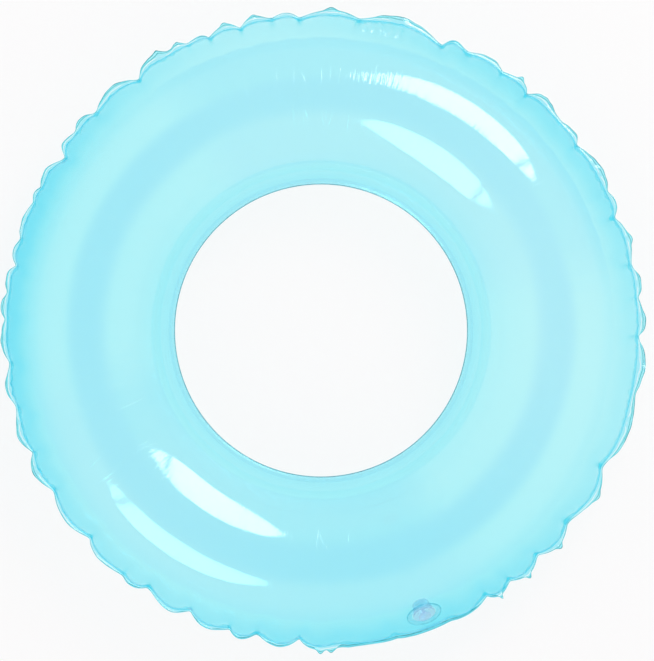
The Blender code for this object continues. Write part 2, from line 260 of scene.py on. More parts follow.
class Graph:
    """A node tree, with short calls that add its nodes and join them."""

    def __init__(self, tree: bpy.types.NodeTree) -> None:
        """Take over a tree and empty it."""
        self.tree = tree
        tree.nodes.clear()

    def add(self, kind: str, inputs: dict[Any, Any] | None = None, **settings: Any) -> bpy.types.Node:
        """Add a node.

        Args:
            kind: its type.
            inputs: values or sockets for its inputs, by name or number.
            **settings: its properties.

        Returns:
            The node.
        """
        node = self.tree.nodes.new(kind)
        for key, value in settings.items():
            setattr(node, key, value)
        for key, value in (inputs or {}).items():
            self.feed(node.inputs[key], value)
        return node

    def feed(self, socket: Socket, value: Any) -> None:
        """Give an input a value, or join it to another node's output.

        Args:
            socket: the input.
            value: a plain value, or the output to join.
        """
        if isinstance(value, Socket):
            self.tree.links.new(value, socket)
        else:
            socket.default_value = value

    def math(self, operation: str, *values: Any) -> Socket:
        """Return the result of a Math node on numbers or sockets."""
        return self.add("ShaderNodeMath", dict(enumerate(values)), operation=operation).outputs[0]

    def times(self, *values: Any) -> Socket:
        """Return the product of numbers or sockets."""
        return reduce(lambda product, value: self.math("MULTIPLY", product, value), values)

    def most(self, *values: Any) -> Socket:
        """Return the greatest of some numbers or sockets."""
        return reduce(lambda best, value: self.math("MAXIMUM", best, value), values)

    def scaled(self, value: Any, scale: Any, offset: Any) -> Socket:
        """Return a value times a scale, plus an offset."""
        return self.math("MULTIPLY_ADD", value, scale, offset)

    def vector(self, operation: str, inputs: dict[Any, Any]) -> Socket:
        """Return the result of a Vector Math node."""
        return self.add("ShaderNodeVectorMath", inputs, operation=operation).outputs[0]

    def ramp(self, value: Any, low: float, high: float, start: float = 0.0, end: float = 1.0) -> Socket:
        """Return a value eased from start to end as it goes from low to high."""
        inputs = {"Value": value, "From Min": low, "From Max": high, "To Min": start, "To Max": end}
        return self.add("ShaderNodeMapRange", inputs, interpolation_type="SMOOTHSTEP").outputs[0]

    def blend(self, share: Any, first: Socket | Colour, second: Socket | Colour) -> Socket:
        """Return a mix of two colours, each a socket or a plain colour."""
        first, second = (opaque(part) if isinstance(part, tuple) else part for part in (first, second))
        return self.add("ShaderNodeMixRGB", {"Fac": share, "Color1": first, "Color2": second}).outputs[0]

    def mix(self, share: Any, first: Socket, second: Socket) -> Socket:
        """Return a mix of two shaders."""
        return self.add("ShaderNodeMixShader", {0: share, 1: first, 2: second}).outputs[0]

    def noise(self, vector: Socket, scale: float, detail: float = 2.0) -> Socket:
        """Return a Noise Texture's value."""
        return self.add("ShaderNodeTexNoise", {"Vector": vector, "Scale": scale, "Detail": detail}).outputs[0]

    def noise_round(self, place: Socket, per_radian: float, detail: float = 2.0) -> Socket:
        """Return noise that changes only with the angle round the ring."""
        return self.noise(self.direction(place, per_radian), 1.0, detail)

    def streaks(self, place: Socket, turn: Socket, scales: Span, detail: float) -> Socket:
        """Return noise that changes round the ring and round the tube, each by its own scale."""
        drawn = self.add("ShaderNodeCombineXYZ", {"Z": self.times(turn, scales[1])}).outputs[0]
        return self.noise(self.vector("ADD", {0: self.direction(place, scales[0]), 1: drawn}), 1.0, detail)

    def place(self) -> Socket:
        """Return the Object coordinates."""
        return self.add("ShaderNodeTexCoord").outputs["Object"]

    def across(self) -> Socket:
        """Return the V value of the piece's own UV map."""
        uv = self.add("ShaderNodeUVMap", uv_map=FILM_UV).outputs[0]
        return self.add("ShaderNodeSeparateXYZ", {0: uv}).outputs["Y"]

    def direction(self, place: Socket, per_radian: float) -> Socket:
        """Return the direction from the ring's axis, on a circle with that many units to a radian."""
        flat = self.vector("MULTIPLY", {0: place, 1: (1.0, 1.0, 0.0)})
        return self.vector("SCALE", {0: self.vector("NORMALIZE", {0: flat}), "Scale": per_radian})

    def bump(self, height: Socket) -> Socket:
        """Return the normal bumped by a height in metres."""
        return self.add("ShaderNodeBump", {"Strength": 1.0, "Distance": 1.0, "Height": height}).outputs[0]

    def edge_on(self, normal: Socket) -> Socket:
        """Return how far the surface is turned edge on, from 0 to 1."""
        return self.add("ShaderNodeLayerWeight", {"Blend": 0.5, "Normal": normal}).outputs["Facing"]

    def towards(self, place: Socket, azimuth: float) -> Socket:
        """Return the cosine of the angle round the ring between a place and an azimuth."""
        inputs = {0: self.direction(place, 1.0), 1: (math.cos(azimuth), math.sin(azimuth), 0.0)}
        return self.add("ShaderNodeVectorMath", inputs, operation="DOT_PRODUCT").outputs["Value"]

    def stretch(self, place: Socket, middle: float, ends: Span) -> Socket:
        """Return a share that rises from 0 to 1 as the angle from an azimuth falls between two ends."""
        return self.ramp(self.towards(place, middle), *map(math.cos, ends))

    def swing(self, place: Socket, mean: float, swings: Swings) -> Socket:
        """Return a value that swings round the ring: a mean and a sum of cosines of the azimuth.

        Args:
            place: the Object coordinates.
            mean: the mean.
            swings: each cosine's count round the ring, its height and its crest's azimuth in degrees.

        Returns:
            The value.
        """
        parts = self.add("ShaderNodeSeparateXYZ", {0: place}).outputs
        azimuth = self.math("ARCTAN2", parts["Y"], parts["X"])
        total: Any = mean
        for count, height, crest in swings:
            angle = self.scaled(azimuth, float(count), -count * math.radians(crest))
            total = self.scaled(self.math("COSINE", angle), height, total)
        return total

    def line(self, value: Any, middle: Any, half: float, share: float, core: float = 0.35) -> Socket:
        """Return a share that falls off to 0 at half a width from a middle value, from its core outwards."""
        away = self.math("ABSOLUTE", self.math("SUBTRACT", value, middle))
        return self.ramp(away, half, core * half, 0.0, share)


@dataclass(frozen=True)
class ClearSkin:
    """How a see-through skin mirrors and clouds: tinted light goes through it, and some is mirrored."""

    haze_share: float
    gloss_face_on: float
    gloss_edge_on: float
    roughness: float
    gloss_power: float = 5.0
    white: Colour = (1.0, 1.0, 1.0)

    def finish(self, graph: Graph, normal: Socket, tint: Socket, haze: Socket) -> None:
        """Join the skin's shaders to the material's output.

        The mirrored share goes from its face-on to its edge-on value with a power of how far the skin is
        turned edge on. The cloudy share scatters half forwards and half backwards.

        Args:
            graph: the material's graph.
            normal: the bumped normal.
            tint: the colour of the light that comes through one face.
            haze: the colour of the cloudy share.
        """
        through = graph.add("ShaderNodeBsdfTransparent", {"Color": tint}).outputs[0]
        near = graph.add("ShaderNodeBsdfDiffuse", {"Color": haze, "Normal": normal}).outputs[0]
        far = graph.add("ShaderNodeBsdfTranslucent", {"Color": haze, "Normal": normal}).outputs[0]
        skin = graph.mix(self.haze_share, through, graph.mix(0.5, near, far))
        glossy = {"Color": opaque(self.white), "Roughness": self.roughness, "Normal": normal}
        mirror = graph.add("ShaderNodeBsdfGlossy", glossy).outputs[0]
        steep = graph.math("POWER", graph.edge_on(normal), self.gloss_power)
        more = self.gloss_edge_on - self.gloss_face_on
        share = graph.scaled(steep, more, self.gloss_face_on)
        graph.add("ShaderNodeOutputMaterial", {"Surface": graph.mix(share, skin, mirror)})


def new_material(name: str) -> tuple[bpy.types.Material, Graph]:
    """Return an empty node material and its graph.

    Args:
        name: the material's name.

    Returns:
        The material, and the graph that fills it.
    """
    made = bpy.data.materials.new(name)
    made.use_nodes = True
    return made, Graph(made.node_tree)


@dataclass(frozen=True)
class FilmFinish:
    """See-through blue film: clear and glossy, finely rippled beside the welds, deeper where it is gathered.

    Its colours are given for the ring's lightest stretches and for its deepest, which are painted shade, face
    on and edge on.
    """

    name: str = "blue_film_finish"
    # The face-on colours swing round the ring between light and deep: the deep stretches are painted shade.
    face_light: Colour = (0.856, 0.992, 0.999)
    face_shaded: Colour = (0.800, 0.984, 0.998)
    face_mean: float = 0.412
    face_shade_swings: Swings = ((1, 0.280, -133.0), (2, 0.180, -71.8), (3, 0.124, 49.7))
    hole_depth: float = 0.22
    hole_turns: Span = (0.20, 0.50)
    # The edge-on colours swing the same way: the deep stretches are painted shade.
    edge_light: Colour = (0.843, 0.985, 0.997)
    edge_shaded: Colour = (0.640, 0.950, 0.991)
    edge_mean: float = 0.55
    edge_shade_swings: Swings = ((1, 0.177, -148.1), (2, 0.085, -2.9), (3, 0.286, 46.3))
    edge_hole: Colour = (0.775, 0.975, 0.997)
    by_weld: Colour = (0.760, 0.968, 0.994)
    gathered: Colour = (0.500, 0.925, 0.972)
    haze: Colour = (0.30, 0.88, 0.98)
    skin: ClearSkin = ClearSkin(haze_share=0.010, gloss_face_on=0.038, gloss_edge_on=0.26, roughness=0.040)
    ripples: Span = (85.0, 4.0)
    ripple_height: float = 0.00030
    creases: Span = (15.0, 4.0)
    crease_depth: float = 0.00010
    crease_half: float = 0.014
    by_seam: Span = (0.66, 0.95)
    by_hole: Ramp = (0.22, 0.0, 0.0, 0.4)
    patch_scale: float = 9.0
    patches: Ramp = (0.44, 0.66, 0.06, 0.45)
    wave_scale: float = 24.0
    wave_height: float = 0.00025
    creased_middle: float = math.radians(66)
    creased_ends: Span = (math.radians(22), math.radians(12))
    creased_turns: Span = (0.42, 0.56)
    crumples: Span = (70.0, 9.0)
    crumple_height: float = 0.0085
    crumple_turn: float = 0.605
    pucker_middle: float = math.radians(79.3)
    pucker_ends: Span = (math.radians(5.2), math.radians(3.4))
    pucker_turns: Span = (0.798, 0.834)
    pucker_height: float = 0.0072
    puckered: Span = (0.44, 0.50)
    near_hole: Span = (0.36, 0.12)
    turned: Span = (0.05, 0.66)
    folds_round: float = 9.0
    folds: Ramp = (0.35, 0.65, 0.05, 0.32)
    fold_turns: Span = (0.84, 0.97)
    fold_depths: Ramp = (0.2, 1.0, 0.2, 1.0)
    near_weld: Span = (0.955, 0.985)
    haze_scale: float = 7.0
    haze_levels: Span = (0.3, 0.7)
    haze_least: float = 0.9

    def height(self, graph: Graph, place: Socket, turn: Socket) -> Socket:
        """Return the film's fine height.

        Ripples are noise on the direction round the ring, drawn out along the turn of the tube: strongest
        beside the outer weld, weaker beside the hole, and in patches elsewhere. A crease is where a coarser
        noise of the same kind crosses its middle value. One stretch is crumpled: it tilts by a noise round
        the ring, the more the farther from one turn. A row of puckers stands by the outer weld. Broad waves
        are noise in space.

        Args:
            graph: the material's graph.
            place: the Object coordinates.
            turn: the turn round the tube, from 0 to 1.

        Returns:
            The height, in metres.
        """
        fine = graph.streaks(place, turn, self.ripples, 3.0)
        ripples = graph.times(fine, self.ripple_height)
        crease = graph.streaks(place, turn, self.creases, 1.0)
        crease = graph.line(crease, 0.5, self.crease_half, -self.crease_depth)
        patches = graph.ramp(graph.noise(place, self.patch_scale, 1.0), *self.patches)
        reach = graph.most(graph.ramp(turn, *self.by_seam), graph.ramp(turn, *self.by_hole), patches)
        height = graph.times(graph.math("ADD", ripples, crease), reach)
        creased = graph.stretch(place, self.creased_middle, self.creased_ends)
        creased = graph.times(creased, graph.ramp(turn, *self.creased_turns))
        crumples = graph.math("SUBTRACT", graph.streaks(place, turn, self.crumples, 2.0), 0.5)
        level = -self.crumple_height * self.crumple_turn
        slope = graph.scaled(turn, self.crumple_height, level)
        height = graph.scaled(graph.times(crumples, slope), creased, height)
        low, high = self.pucker_turns
        rise = {"Value": turn, "From Min": low, "From Max": high, "To Max": self.pucker_height}
        rise = graph.add("ShaderNodeMapRange", rise).outputs[0]
        pucker = graph.times(graph.stretch(place, self.pucker_middle, self.pucker_ends), rise)
        height = graph.scaled(pucker, graph.ramp(fine, *self.puckered), height)
        return graph.scaled(graph.noise(place, self.wave_scale, 1.0), self.wave_height, height)

    def make(self) -> bpy.types.Material:
        """Return the film's material. Each face of the film takes half of its tint.

        Returns:
            The material, whose tint goes with the azimuth as painted shade, and with the turn, the slope and
            the gathers.
        """
        made, graph = new_material(self.name)
        place, turn = graph.place(), graph.across()
        normal = graph.bump(self.height(graph, place, turn))
        # Painted shade round the ring: the tint is deeper on the sides that the light reaches less.
        depth = graph.swing(place, self.face_mean - self.hole_depth, self.face_shade_swings)
        depth = graph.scaled(depth, graph.ramp(turn, *self.hole_turns), self.hole_depth)
        face = graph.blend(depth, self.face_light, self.face_shaded)
        depth = graph.swing(place, self.edge_mean, self.edge_shade_swings)
        edge = graph.blend(depth, self.edge_light, self.edge_shaded)
        edge = graph.blend(graph.ramp(turn, *self.near_hole), edge, self.edge_hole)
        tint = graph.blend(graph.ramp(graph.edge_on(normal), *self.turned), face, edge)
        tint = graph.blend(graph.ramp(turn, *self.near_weld), tint, self.by_weld)
        # The folds show most where the painted shade round the ring is deepest.
        folds = graph.ramp(graph.noise_round(place, self.folds_round), *self.folds)
        folds = graph.times(folds, graph.ramp(turn, *self.fold_turns), graph.ramp(depth, *self.fold_depths))
        marked = graph.add("ShaderNodeAttribute", attribute_name=GATHER).outputs["Fac"]
        tint = graph.blend(graph.most(folds, marked), tint, self.gathered)
        uneven = graph.ramp(graph.noise(place, self.haze_scale), *self.haze_levels)
        haze = graph.blend(uneven, self.haze, opaque(self.haze, self.haze_least))
        self.skin.finish(graph, normal, tint, haze)
        return made


@dataclass(frozen=True)
class WeldFinish:
    """Two films pressed together: a deep line at the cut edge, a second one inside it and a pale streak of
    painted highlight.
    """

    name: str = "weld_band_finish"
    root: Colour = (0.93, 0.99, 1.0)
    between: Colour = (0.660, 0.957, 0.990)
    turned: Colour = (0.560, 0.935, 0.980)
    lines: Colour = (0.12, 0.60, 0.64)
    # painted highlight: the pale streak that stands for the lamp's reflection along the band
    painted_highlight: Colour = (0.960, 0.998, 1.0)
    haze: Colour = (0.30, 0.82, 0.88)
    skin: ClearSkin = ClearSkin(haze_share=0.02, gloss_face_on=0.040, gloss_edge_on=0.28, roughness=0.10)
    edge_line: Span = (0.88, 0.928)
    second_line: float = 0.70
    second_half: float = 0.075
    second_strength: float = 0.55
    highlight_line: float = 0.42
    highlight_half: float = 0.08
    highlight_strength: float = 0.80
    highlight_levels: Span = (-0.16, 0.04)
    wander: float = 0.60
    wanders_round: Span = (14.0, 23.0)
    breaks_round: float = 17.0
    breaks: Span = (0.38, 0.60)
    least_line: float = 0.30
    near_root: Span = (0.07, 0.0)
    turned_from: Span = (0.05, 0.60)
    press_scales: Span = (700.0, 90.0)
    press_heights: Span = (0.00008, 0.00040)

    def make(self) -> bpy.types.Material:
        """Return the weld's material: the V value runs across the band, from the weld to its free edge.

        The second line is the other film's cut edge and wanders across the band. The pale streak, which
        wanders too, is a painted highlight. The film is pressed thin at the root, so it has nearly no colour
        there. All the lines come and go round the ring.

        Returns:
            The material.
        """
        made, graph = new_material(self.name)
        place, across = graph.place(), graph.across()
        fine, broad = self.press_scales
        height = graph.times(graph.noise(place, fine, 1.0), self.press_heights[0])
        height = graph.scaled(graph.noise(place, broad), self.press_heights[1], height)
        normal = graph.bump(height)
        drift, other = (
            graph.math("SUBTRACT", graph.noise_round(place, count), 0.5) for count in self.wanders_round
        )
        broken = graph.noise_round(place, self.breaks_round)
        broken = graph.ramp(broken, *self.breaks, self.least_line, 1.0)
        edge = graph.times(graph.ramp(across, *self.edge_line), broken)
        middle = graph.scaled(drift, self.wander, self.second_line)
        second = graph.line(across, middle, self.second_half, self.second_strength)
        line = graph.most(edge, second)
        # Painted highlight: a pale streak that wanders across the band and comes and goes round the ring.
        middle = graph.scaled(other, self.wander, self.highlight_line)
        painted_highlight = graph.line(across, middle, self.highlight_half, self.highlight_strength)
        shown = graph.ramp(graph.math("ADD", drift, other), *self.highlight_levels)
        painted_highlight = graph.times(painted_highlight, shown)
        tint = graph.blend(graph.ramp(graph.edge_on(normal), *self.turned_from), self.between, self.turned)
        tint = graph.blend(graph.ramp(across, *self.near_root), tint, self.root)
        tint = graph.blend(line, graph.blend(painted_highlight, tint, self.painted_highlight), self.lines)
        haze = graph.blend(line, self.haze, self.lines)
        self.skin.finish(graph, normal, tint, haze)
        return made


@dataclass(frozen=True)
class ClearPlasticFinish:
    """Soft clear moulded plastic, deeper edge on, with a dark line where the V value says that a rim is."""

    name: str = "clear_valve_plastic_finish"
    face_on: Colour = (0.965, 0.995, 1.0)
    edge_on: Colour = (0.45, 0.80, 0.88)
    rim: Colour = (0.42, 0.80, 0.86)
    haze: Colour = (0.55, 0.88, 0.97)
    skin: ClearSkin = ClearSkin(haze_share=0.03, gloss_face_on=0.040, gloss_edge_on=0.30, roughness=0.12)
    turned: Span = (0.3, 1.0)
    grain_scale: float = 450.0
    grain_height: float = 0.00003
    haze_scale: float = 120.0
    haze_levels: Span = (0.3, 0.7)
    haze_least: float = 0.92
    has_rim: bool = False
    rim_starts: Span = (0.74, 0.76)
    rim_ends: Span = (0.975, 0.970)
    rim_scale: float = 60.0
    rim_breaks: Ramp = (0.35, 0.60, 0.35, 1.0)
    inner_line: Ramp = (0.25, 0.20, 0.0, 0.35)

    def make(self) -> bpy.types.Material:
        """Return the clear plastic's material.

        Returns:
            The material, with a fine grain, soft clouds in its haze and, where it has one, its rim's line.
        """
        made, graph = new_material(self.name)
        place = graph.place()
        normal = graph.bump(graph.times(graph.noise(place, self.grain_scale), self.grain_height))
        tint = graph.blend(graph.ramp(graph.edge_on(normal), *self.turned), self.face_on, self.edge_on)
        uneven = graph.ramp(graph.noise(place, self.haze_scale, 1.0), *self.haze_levels)
        haze = graph.blend(uneven, self.haze, opaque(self.haze, self.haze_least))
        if self.has_rim:
            across = graph.across()
            start, end = (graph.ramp(across, *turns) for turns in (self.rim_starts, self.rim_ends))
            broken = graph.ramp(graph.noise(place, self.rim_scale, 1.0), *self.rim_breaks)
            line = graph.times(start, end, broken)
            line = graph.most(line, graph.ramp(across, *self.inner_line))
            tint = graph.blend(line, tint, self.rim)
        self.skin.finish(graph, normal, tint, haze)
        return made


@dataclass(frozen=True)
class MilkyPlasticFinish:
    """Soft cloudy plastic: pale lilac, half see-through, with soft clouds in it."""

    name: str = "milky_stopper_plastic_finish"
    face_on: Colour = (0.945, 0.975, 1.0)
    edge_on: Colour = (0.890, 0.945, 1.0)
    pale: Colour = (0.82, 0.90, 1.0)
    deep: Colour = (0.76, 0.87, 1.0)
    skin: ClearSkin = ClearSkin(haze_share=0.12, gloss_face_on=0.040, gloss_edge_on=0.30, roughness=0.18)
    turned: Span = (0.2, 1.0)
    cloud_scale: float = 160.0
    cloud_levels: Span = (0.35, 0.65)
    grain_scale: float = 900.0
    grain_height: float = 0.00003

    def make(self) -> bpy.types.Material:
        """Return the milky plastic's material, with soft clouds in its colour and a fine grain.

        Returns:
            The material.
        """
        made, graph = new_material(self.name)
        place = graph.place()
        clouds = graph.ramp(graph.noise(place, self.cloud_scale, 3.0), *self.cloud_levels)
        haze = graph.blend(clouds, self.pale, self.deep)
        normal = graph.bump(graph.times(graph.noise(place, self.grain_scale), self.grain_height))
        tint = graph.blend(graph.ramp(graph.edge_on(normal), *self.turned), self.face_on, self.edge_on)
        self.skin.finish(graph, normal, tint, haze)
        return made


@dataclass(frozen=True)
class FloorFinish:
    """Plain white floor that shows as white through the film too, and keeps a share of the shadow.

    Its own colour is warm, so that it is white under the cool light.
    """

    name: str = "white_floor"
    albedo: Colour = (0.90, 0.78, 0.65)
    glow: Colour = (1.0, 0.994, 1.0)
    kept_shadow: float = 0.15

    def make(self) -> bpy.types.Material:
        """Return the floor's material.

        Returns:
            The material: a glow where it is seen, but for the share that keeps its shadow.
        """
        made, graph = new_material(self.name)
        matt = graph.add("ShaderNodeBsdfDiffuse", {"Color": opaque(self.albedo)}).outputs[0]
        glow = graph.add("ShaderNodeEmission", {"Color": opaque(self.glow), "Strength": 1.0}).outputs[0]
        path = graph.add("ShaderNodeLightPath").outputs
        seen = graph.most(path["Is Camera Ray"], path["Is Glossy Ray"], path["Is Transmission Ray"])
        share = graph.times(seen, 1 - self.kept_shadow)
        graph.add("ShaderNodeOutputMaterial", {"Surface": graph.mix(share, matt, glow)})
        return made


@dataclass(frozen=True)
class TubeShape:
    """The blown-up tube's section: a leaning ellipse, pressed flat where it rests, flared into its welds."""

    hole_radius: float = 0.1395
    half_width: float = 0.07925
    half_height: float = 0.0715
    crest_lean: float = 0.0053
    flat_turn: float = 0.14204
    flat_firmness: float = 6000.0
    outer_flare: Span = (0.0016, 0.0016)
    inner_flare: Span = (0.0002, 0.0010)
    lean_more: float = 0.0012
    lean_towards: float = math.radians(60)

    @property
    def mid_radius(self) -> float:
        """Return the radius of the middle of the tube's width."""
        return self.hole_radius + self.half_width

    @property
    def weld_radius(self) -> float:
        """Return the radius of the outer weld where nothing gathers it."""
        return self.hole_radius + 2 * self.half_width

    @property
    def equator_height(self) -> float:
        """Return the welds' height above the floor."""
        return self.half_height * math.cos(self.flat_turn)

    def section(self, turn: Array) -> Pair:
        """Return radius and height: r = middle - a cos t + e sin^2 t, and z = h sin t.

        Args:
            turn: turns round the tube.

        Returns:
            Distances from the ring's axis, and heights above its equator.
        """
        radius = self.mid_radius - self.half_width * np.cos(turn) + self.crest_lean * np.sin(turn) ** 2
        return radius, self.half_height * np.sin(turn)

    def outward(self, turn: Array) -> Pair:
        """Return the section's outward normal: its tangent turned a quarter.

        Args:
            turn: turns round the tube.

        Returns:
            The normal's radial and upward parts.
        """
        run = self.half_width * np.sin(turn) + self.crest_lean * np.sin(2 * turn)
        rise = self.half_height * np.cos(turn)
        length = np.hypot(run, rise)
        return -rise / length, run / length

    def lean(self, azimuth: Array, turn: Array) -> Array:
        """Return how much further out the crest stands: most on one side, by the turn's sine squared."""
        return self.lean_more * (1 + np.cos(azimuth - self.lean_towards)) * np.sin(turn) ** 2

    def flare(self, turn: Array, height: Array) -> Array:
        """Return how far the film spreads sideways into a weld: it dies away with the height above it.

        Args:
            turn: turns round the tube.
            height: heights above the equator.

        Returns:
            Radial offsets: outwards at the outer weld, and towards the axis at the hole's edge.
        """
        outer = self.outer_flare[0] * np.exp(-height / self.outer_flare[1])
        inner = self.inner_flare[0] * np.exp(-height / self.inner_flare[1])
        return np.where(turn > math.pi / 2, outer, -inner)

    def rest(self, height: Array) -> Array:
        """Return heights on the underside, held at the floor: the lesser of both, with the corner eased."""
        firm = self.flat_firmness
        return self.equator_height - np.logaddexp(0.0, firm * (self.equator_height - height)) / firm


@dataclass(frozen=True)
class Waves:
    """A random sum of cosines of the angle round the ring and the turn round the tube.

    The counts are the least and most waves round the ring, and the slant is the most waves a radian of turn,
    either way.
    """

    counts: tuple[int, int]
    slant: float
    number: int
    sizes: Span = (0.3, 1.0)

    def sum(self, draw: np.random.Generator, azimuth: Array, turn: Array) -> Array:
        """Return the sum, in which each cosine has its own count, slant, phase and size.

        Args:
            draw: where the choices are drawn from.
            azimuth: angles round the ring.
            turn: turns round the tube.

        Returns:
            The sum, scaled to a height of about 1.
        """
        rounds = draw.integers(*self.counts, self.number)
        slants = draw.uniform(-self.slant, self.slant, self.number)
        phases = draw.uniform(0.0, FULL_TURN, self.number)
        sizes = draw.uniform(*self.sizes, self.number)
        angles = rounds * azimuth[..., None] + slants * turn[..., None] + phases
        return (sizes * np.cos(angles)).sum(axis=-1) / math.sqrt(self.number / 3)


@dataclass(frozen=True)
class Gathers:
    """The puckers of the outer weld: rounded lobes between notches, each reaching out by its own numbers.

    The arcs are the lobes' widths in degrees. Crests and notches are in millimetres beyond the base radius.
    """

    tube: TubeShape
    first_degrees: float = 6.0
    base_radius: float = 0.289
    arcs: tuple[int, ...] = (
        (6, 9, 5, 10, 5, 8, 6, 7, 5, 16, 11, 5)
        + (6, 6, 4, 3, 8, 10, 5, 5, 7, 3, 7, 5)
        + (5, 5, 8, 8, 9, 8, 11, 9, 5, 9, 8, 5)
        + (8, 9, 9, 10, 8, 5, 7, 8, 12, 15, 10, 7)
    )
    crests: tuple[float, ...] = (
        (20.0, 18.4, 17.2, 20.2, 18.2, 19.4, 16.4, 17.6, 14.0, 19.2, 16.6, 15.8)
        + (17.5, 16.8, 13.8, 17.6, 17.0, 17.5, 16.8, 15.2, 15.4, 13.4, 14.6, 13.6)
        + (15.4, 17.0, 16.2, 16.4, 17.0, 17.0, 14.4, 14.4, 13.2, 14.2, 13.8, 12.8)
        + (13.4, 13.2, 14.3, 14.8, 16.6, 13.4, 15.2, 16.4, 18.0, 20.4, 22.0, 20.8)
    )
    notches: tuple[float, ...] = (
        (15.0, 13.0, 10.6, 15.2, 12.0, 15.0, 9.6, 11.8, 11.0, 6.0, 9.8, 9.4)
        + (12.0, 9.0, 9.6, 12.8, 14.6, 6.4, 9.6, 12.6, 5.2, 10.8, 10.8, 10.2)
        + (7.6, 12.8, 12.6, 9.0, 10.0, 9.0, 8.0, 6.8, 11.0, 6.4, 5.4, 8.4)
        + (6.8, 5.4, 14.0, 13.0, 14.0, 9.0, 9.6, 8.2, 9.2, 8.8, 17.4, 13.4)
    )
    bluntness: float = 0.80
    rounding: float = 0.16
    weld_middle: float = 0.3000
    weld_shift: float = 0.0014
    weld_towards: float = math.radians(-5)
    least_band: float = 0.0016
    folded_back: Span = (math.radians(286), math.radians(14))
    folded_band: float = 0.0037
    fold_ease: float = math.radians(4)
    reach: float = 0.055
    least_depth: float = 0.004
    mark_width: float = 0.0024
    mark_depth: float = 0.007
    mark_most: float = 0.9
    mark_turns: Span = (0.85, 0.93)
    valley_depth: float = 0.0030
    valley_full: float = 0.008
    valley_most: float = 1.2
    valley_reach: float = 0.85
    pillow: float = 0.0020
    pillow_power: float = 0.8
    lean: float = 0.05
    lean_waves: Waves = Waves((2, 13), 0.0, 8)
    seed: int = 11
    skew: float = 0.30
    ripple_height: float = 0.00050
    ripple_waves: Waves = Waves((90, 230), 14.0, 26)
    ripple_reach: float = 0.90
    ripple_shares: Span = (0.25, 0.95)
    patches: Span = (0.45, 0.55)
    patch_waves: Waves = Waves((2, 9), 0.0, 5)
    inner_ripples: float = 0.30
    inner_turns: Span = (0.05, 0.45)
    wave_height: float = 0.00012
    long_waves: Waves = Waves((3, 13), 4.0, 14)
    edges: Array = field(init=False, repr=False)
    skews: Array = field(init=False, repr=False)

    def __post_init__(self) -> None:
        """Work out the angle of each notch and how far each lobe leans to one side."""
        steps = np.concatenate([[0.0], np.cumsum(self.arcs)]) / sum(self.arcs)
        object.__setattr__(self, "edges", math.radians(self.first_degrees) + FULL_TURN * steps)
        draws = np.random.default_rng(self.seed).uniform(-self.skew, self.skew, len(self.arcs))
        object.__setattr__(self, "skews", np.exp(draws))

    def lobe_share(self, azimuth: Array) -> Pair:
        """Return the number of the lobe at each angle, and how far along it the angle lies, from 0 to 1.

        Args:
            azimuth: angles round the ring.

        Returns:
            Lobe numbers, and shares skewed by each lobe's lean.
        """
        angle = self.edges[0] + np.mod(azimuth - self.edges[0], FULL_TURN)
        lobe = np.clip(np.searchsorted(self.edges, angle, side="right") - 1, 0, len(self.arcs) - 1)
        share = (angle - self.edges[lobe]) / (self.edges[lobe + 1] - self.edges[lobe])
        return lobe, np.clip(share, 0.0, 1.0) ** self.skews[lobe]

    def bulge(self, share: Array) -> Array:
        """Return 0 at a notch and 1 in a lobe's middle: a power of a half sine, rounded at the notches.

        Args:
            share: how far along its lobe each point lies.

        Returns:
            Shares of the lobe's height.
        """
        low = self.rounding**2
        power = self.bluntness / 2
        wave = (np.sin(np.pi * share) ** 2 + low) ** power
        return (wave - low**power) / ((1 + low) ** power - low**power)

    def at_notches(self, values: Array, azimuth: Array) -> Array:
        """Return the notches' values carried on between them in proportion to the share of the lobe."""
        lobe, share = self.lobe_share(azimuth)
        return values[lobe] * (1 - share) + values[(lobe + 1) % len(values)] * share

    def outline(self, azimuth: Array) -> Array:
        """Return the radius of the band's outer edge: from the notches' line out to each lobe's crest.

        Args:
            azimuth: angles round the ring.

        Returns:
            Radii.
        """
        lobe, share = self.lobe_share(azimuth)
        low = self.at_notches(np.array(self.notches), azimuth)
        high = np.array(self.crests)[lobe]
        return self.base_radius + MILLIMETRE * (low + (high - low) * self.bulge(share))

    def weld_base(self, azimuth: Array) -> Array:
        """Return the weld's radius where nothing gathers it: a circle a little off the ring's axis."""
        return self.weld_middle + self.weld_shift * np.cos(azimuth - self.weld_towards)

    def weld(self, azimuth: Array) -> Array:
        """Return the radius of the weld: its base, drawn in at each notch so that the least band is left.

        Where the band lies folded back, the weld runs a fold's width inside the outline.

        Args:
            azimuth: angles round the ring.

        Returns:
            Radii.
        """
        base = self.weld_base(azimuth)
        notch = self.base_radius + MILLIMETRE * np.array(self.notches) - self.least_band
        notch = np.minimum(notch, self.weld_base(self.edges[:-1]))
        low = self.at_notches(notch, azimuth)
        drawn = base - np.maximum(base - low, 0.0) * (1 - self.bulge(self.lobe_share(azimuth)[1]))
        folded = self.fold_share(azimuth)
        return drawn * (1 - folded) + (self.outline(azimuth) - self.folded_band) * folded

    def fold_share(self, azimuth: Array) -> Array:
        """Return 1 where the band lies folded back over itself, easing to 0 beside that stretch."""
        middle, half = self.folded_back
        return smoothstep((half - np.abs(turned_away(azimuth, middle))) / self.fold_ease + 0.5)

    def depth(self, azimuth: Array) -> Array:
        """Return how deep the nearby notches are, in metres: the base radius of the weld less theirs.

        Args:
            azimuth: angles round the ring.

        Returns:
            Depths, with the least depth added.
        """
        notch = self.base_radius + MILLIMETRE * np.array(self.notches)
        base = self.weld_base(azimuth) + self.least_depth
        return np.clip(base - self.at_notches(notch, azimuth), 0.0, None)

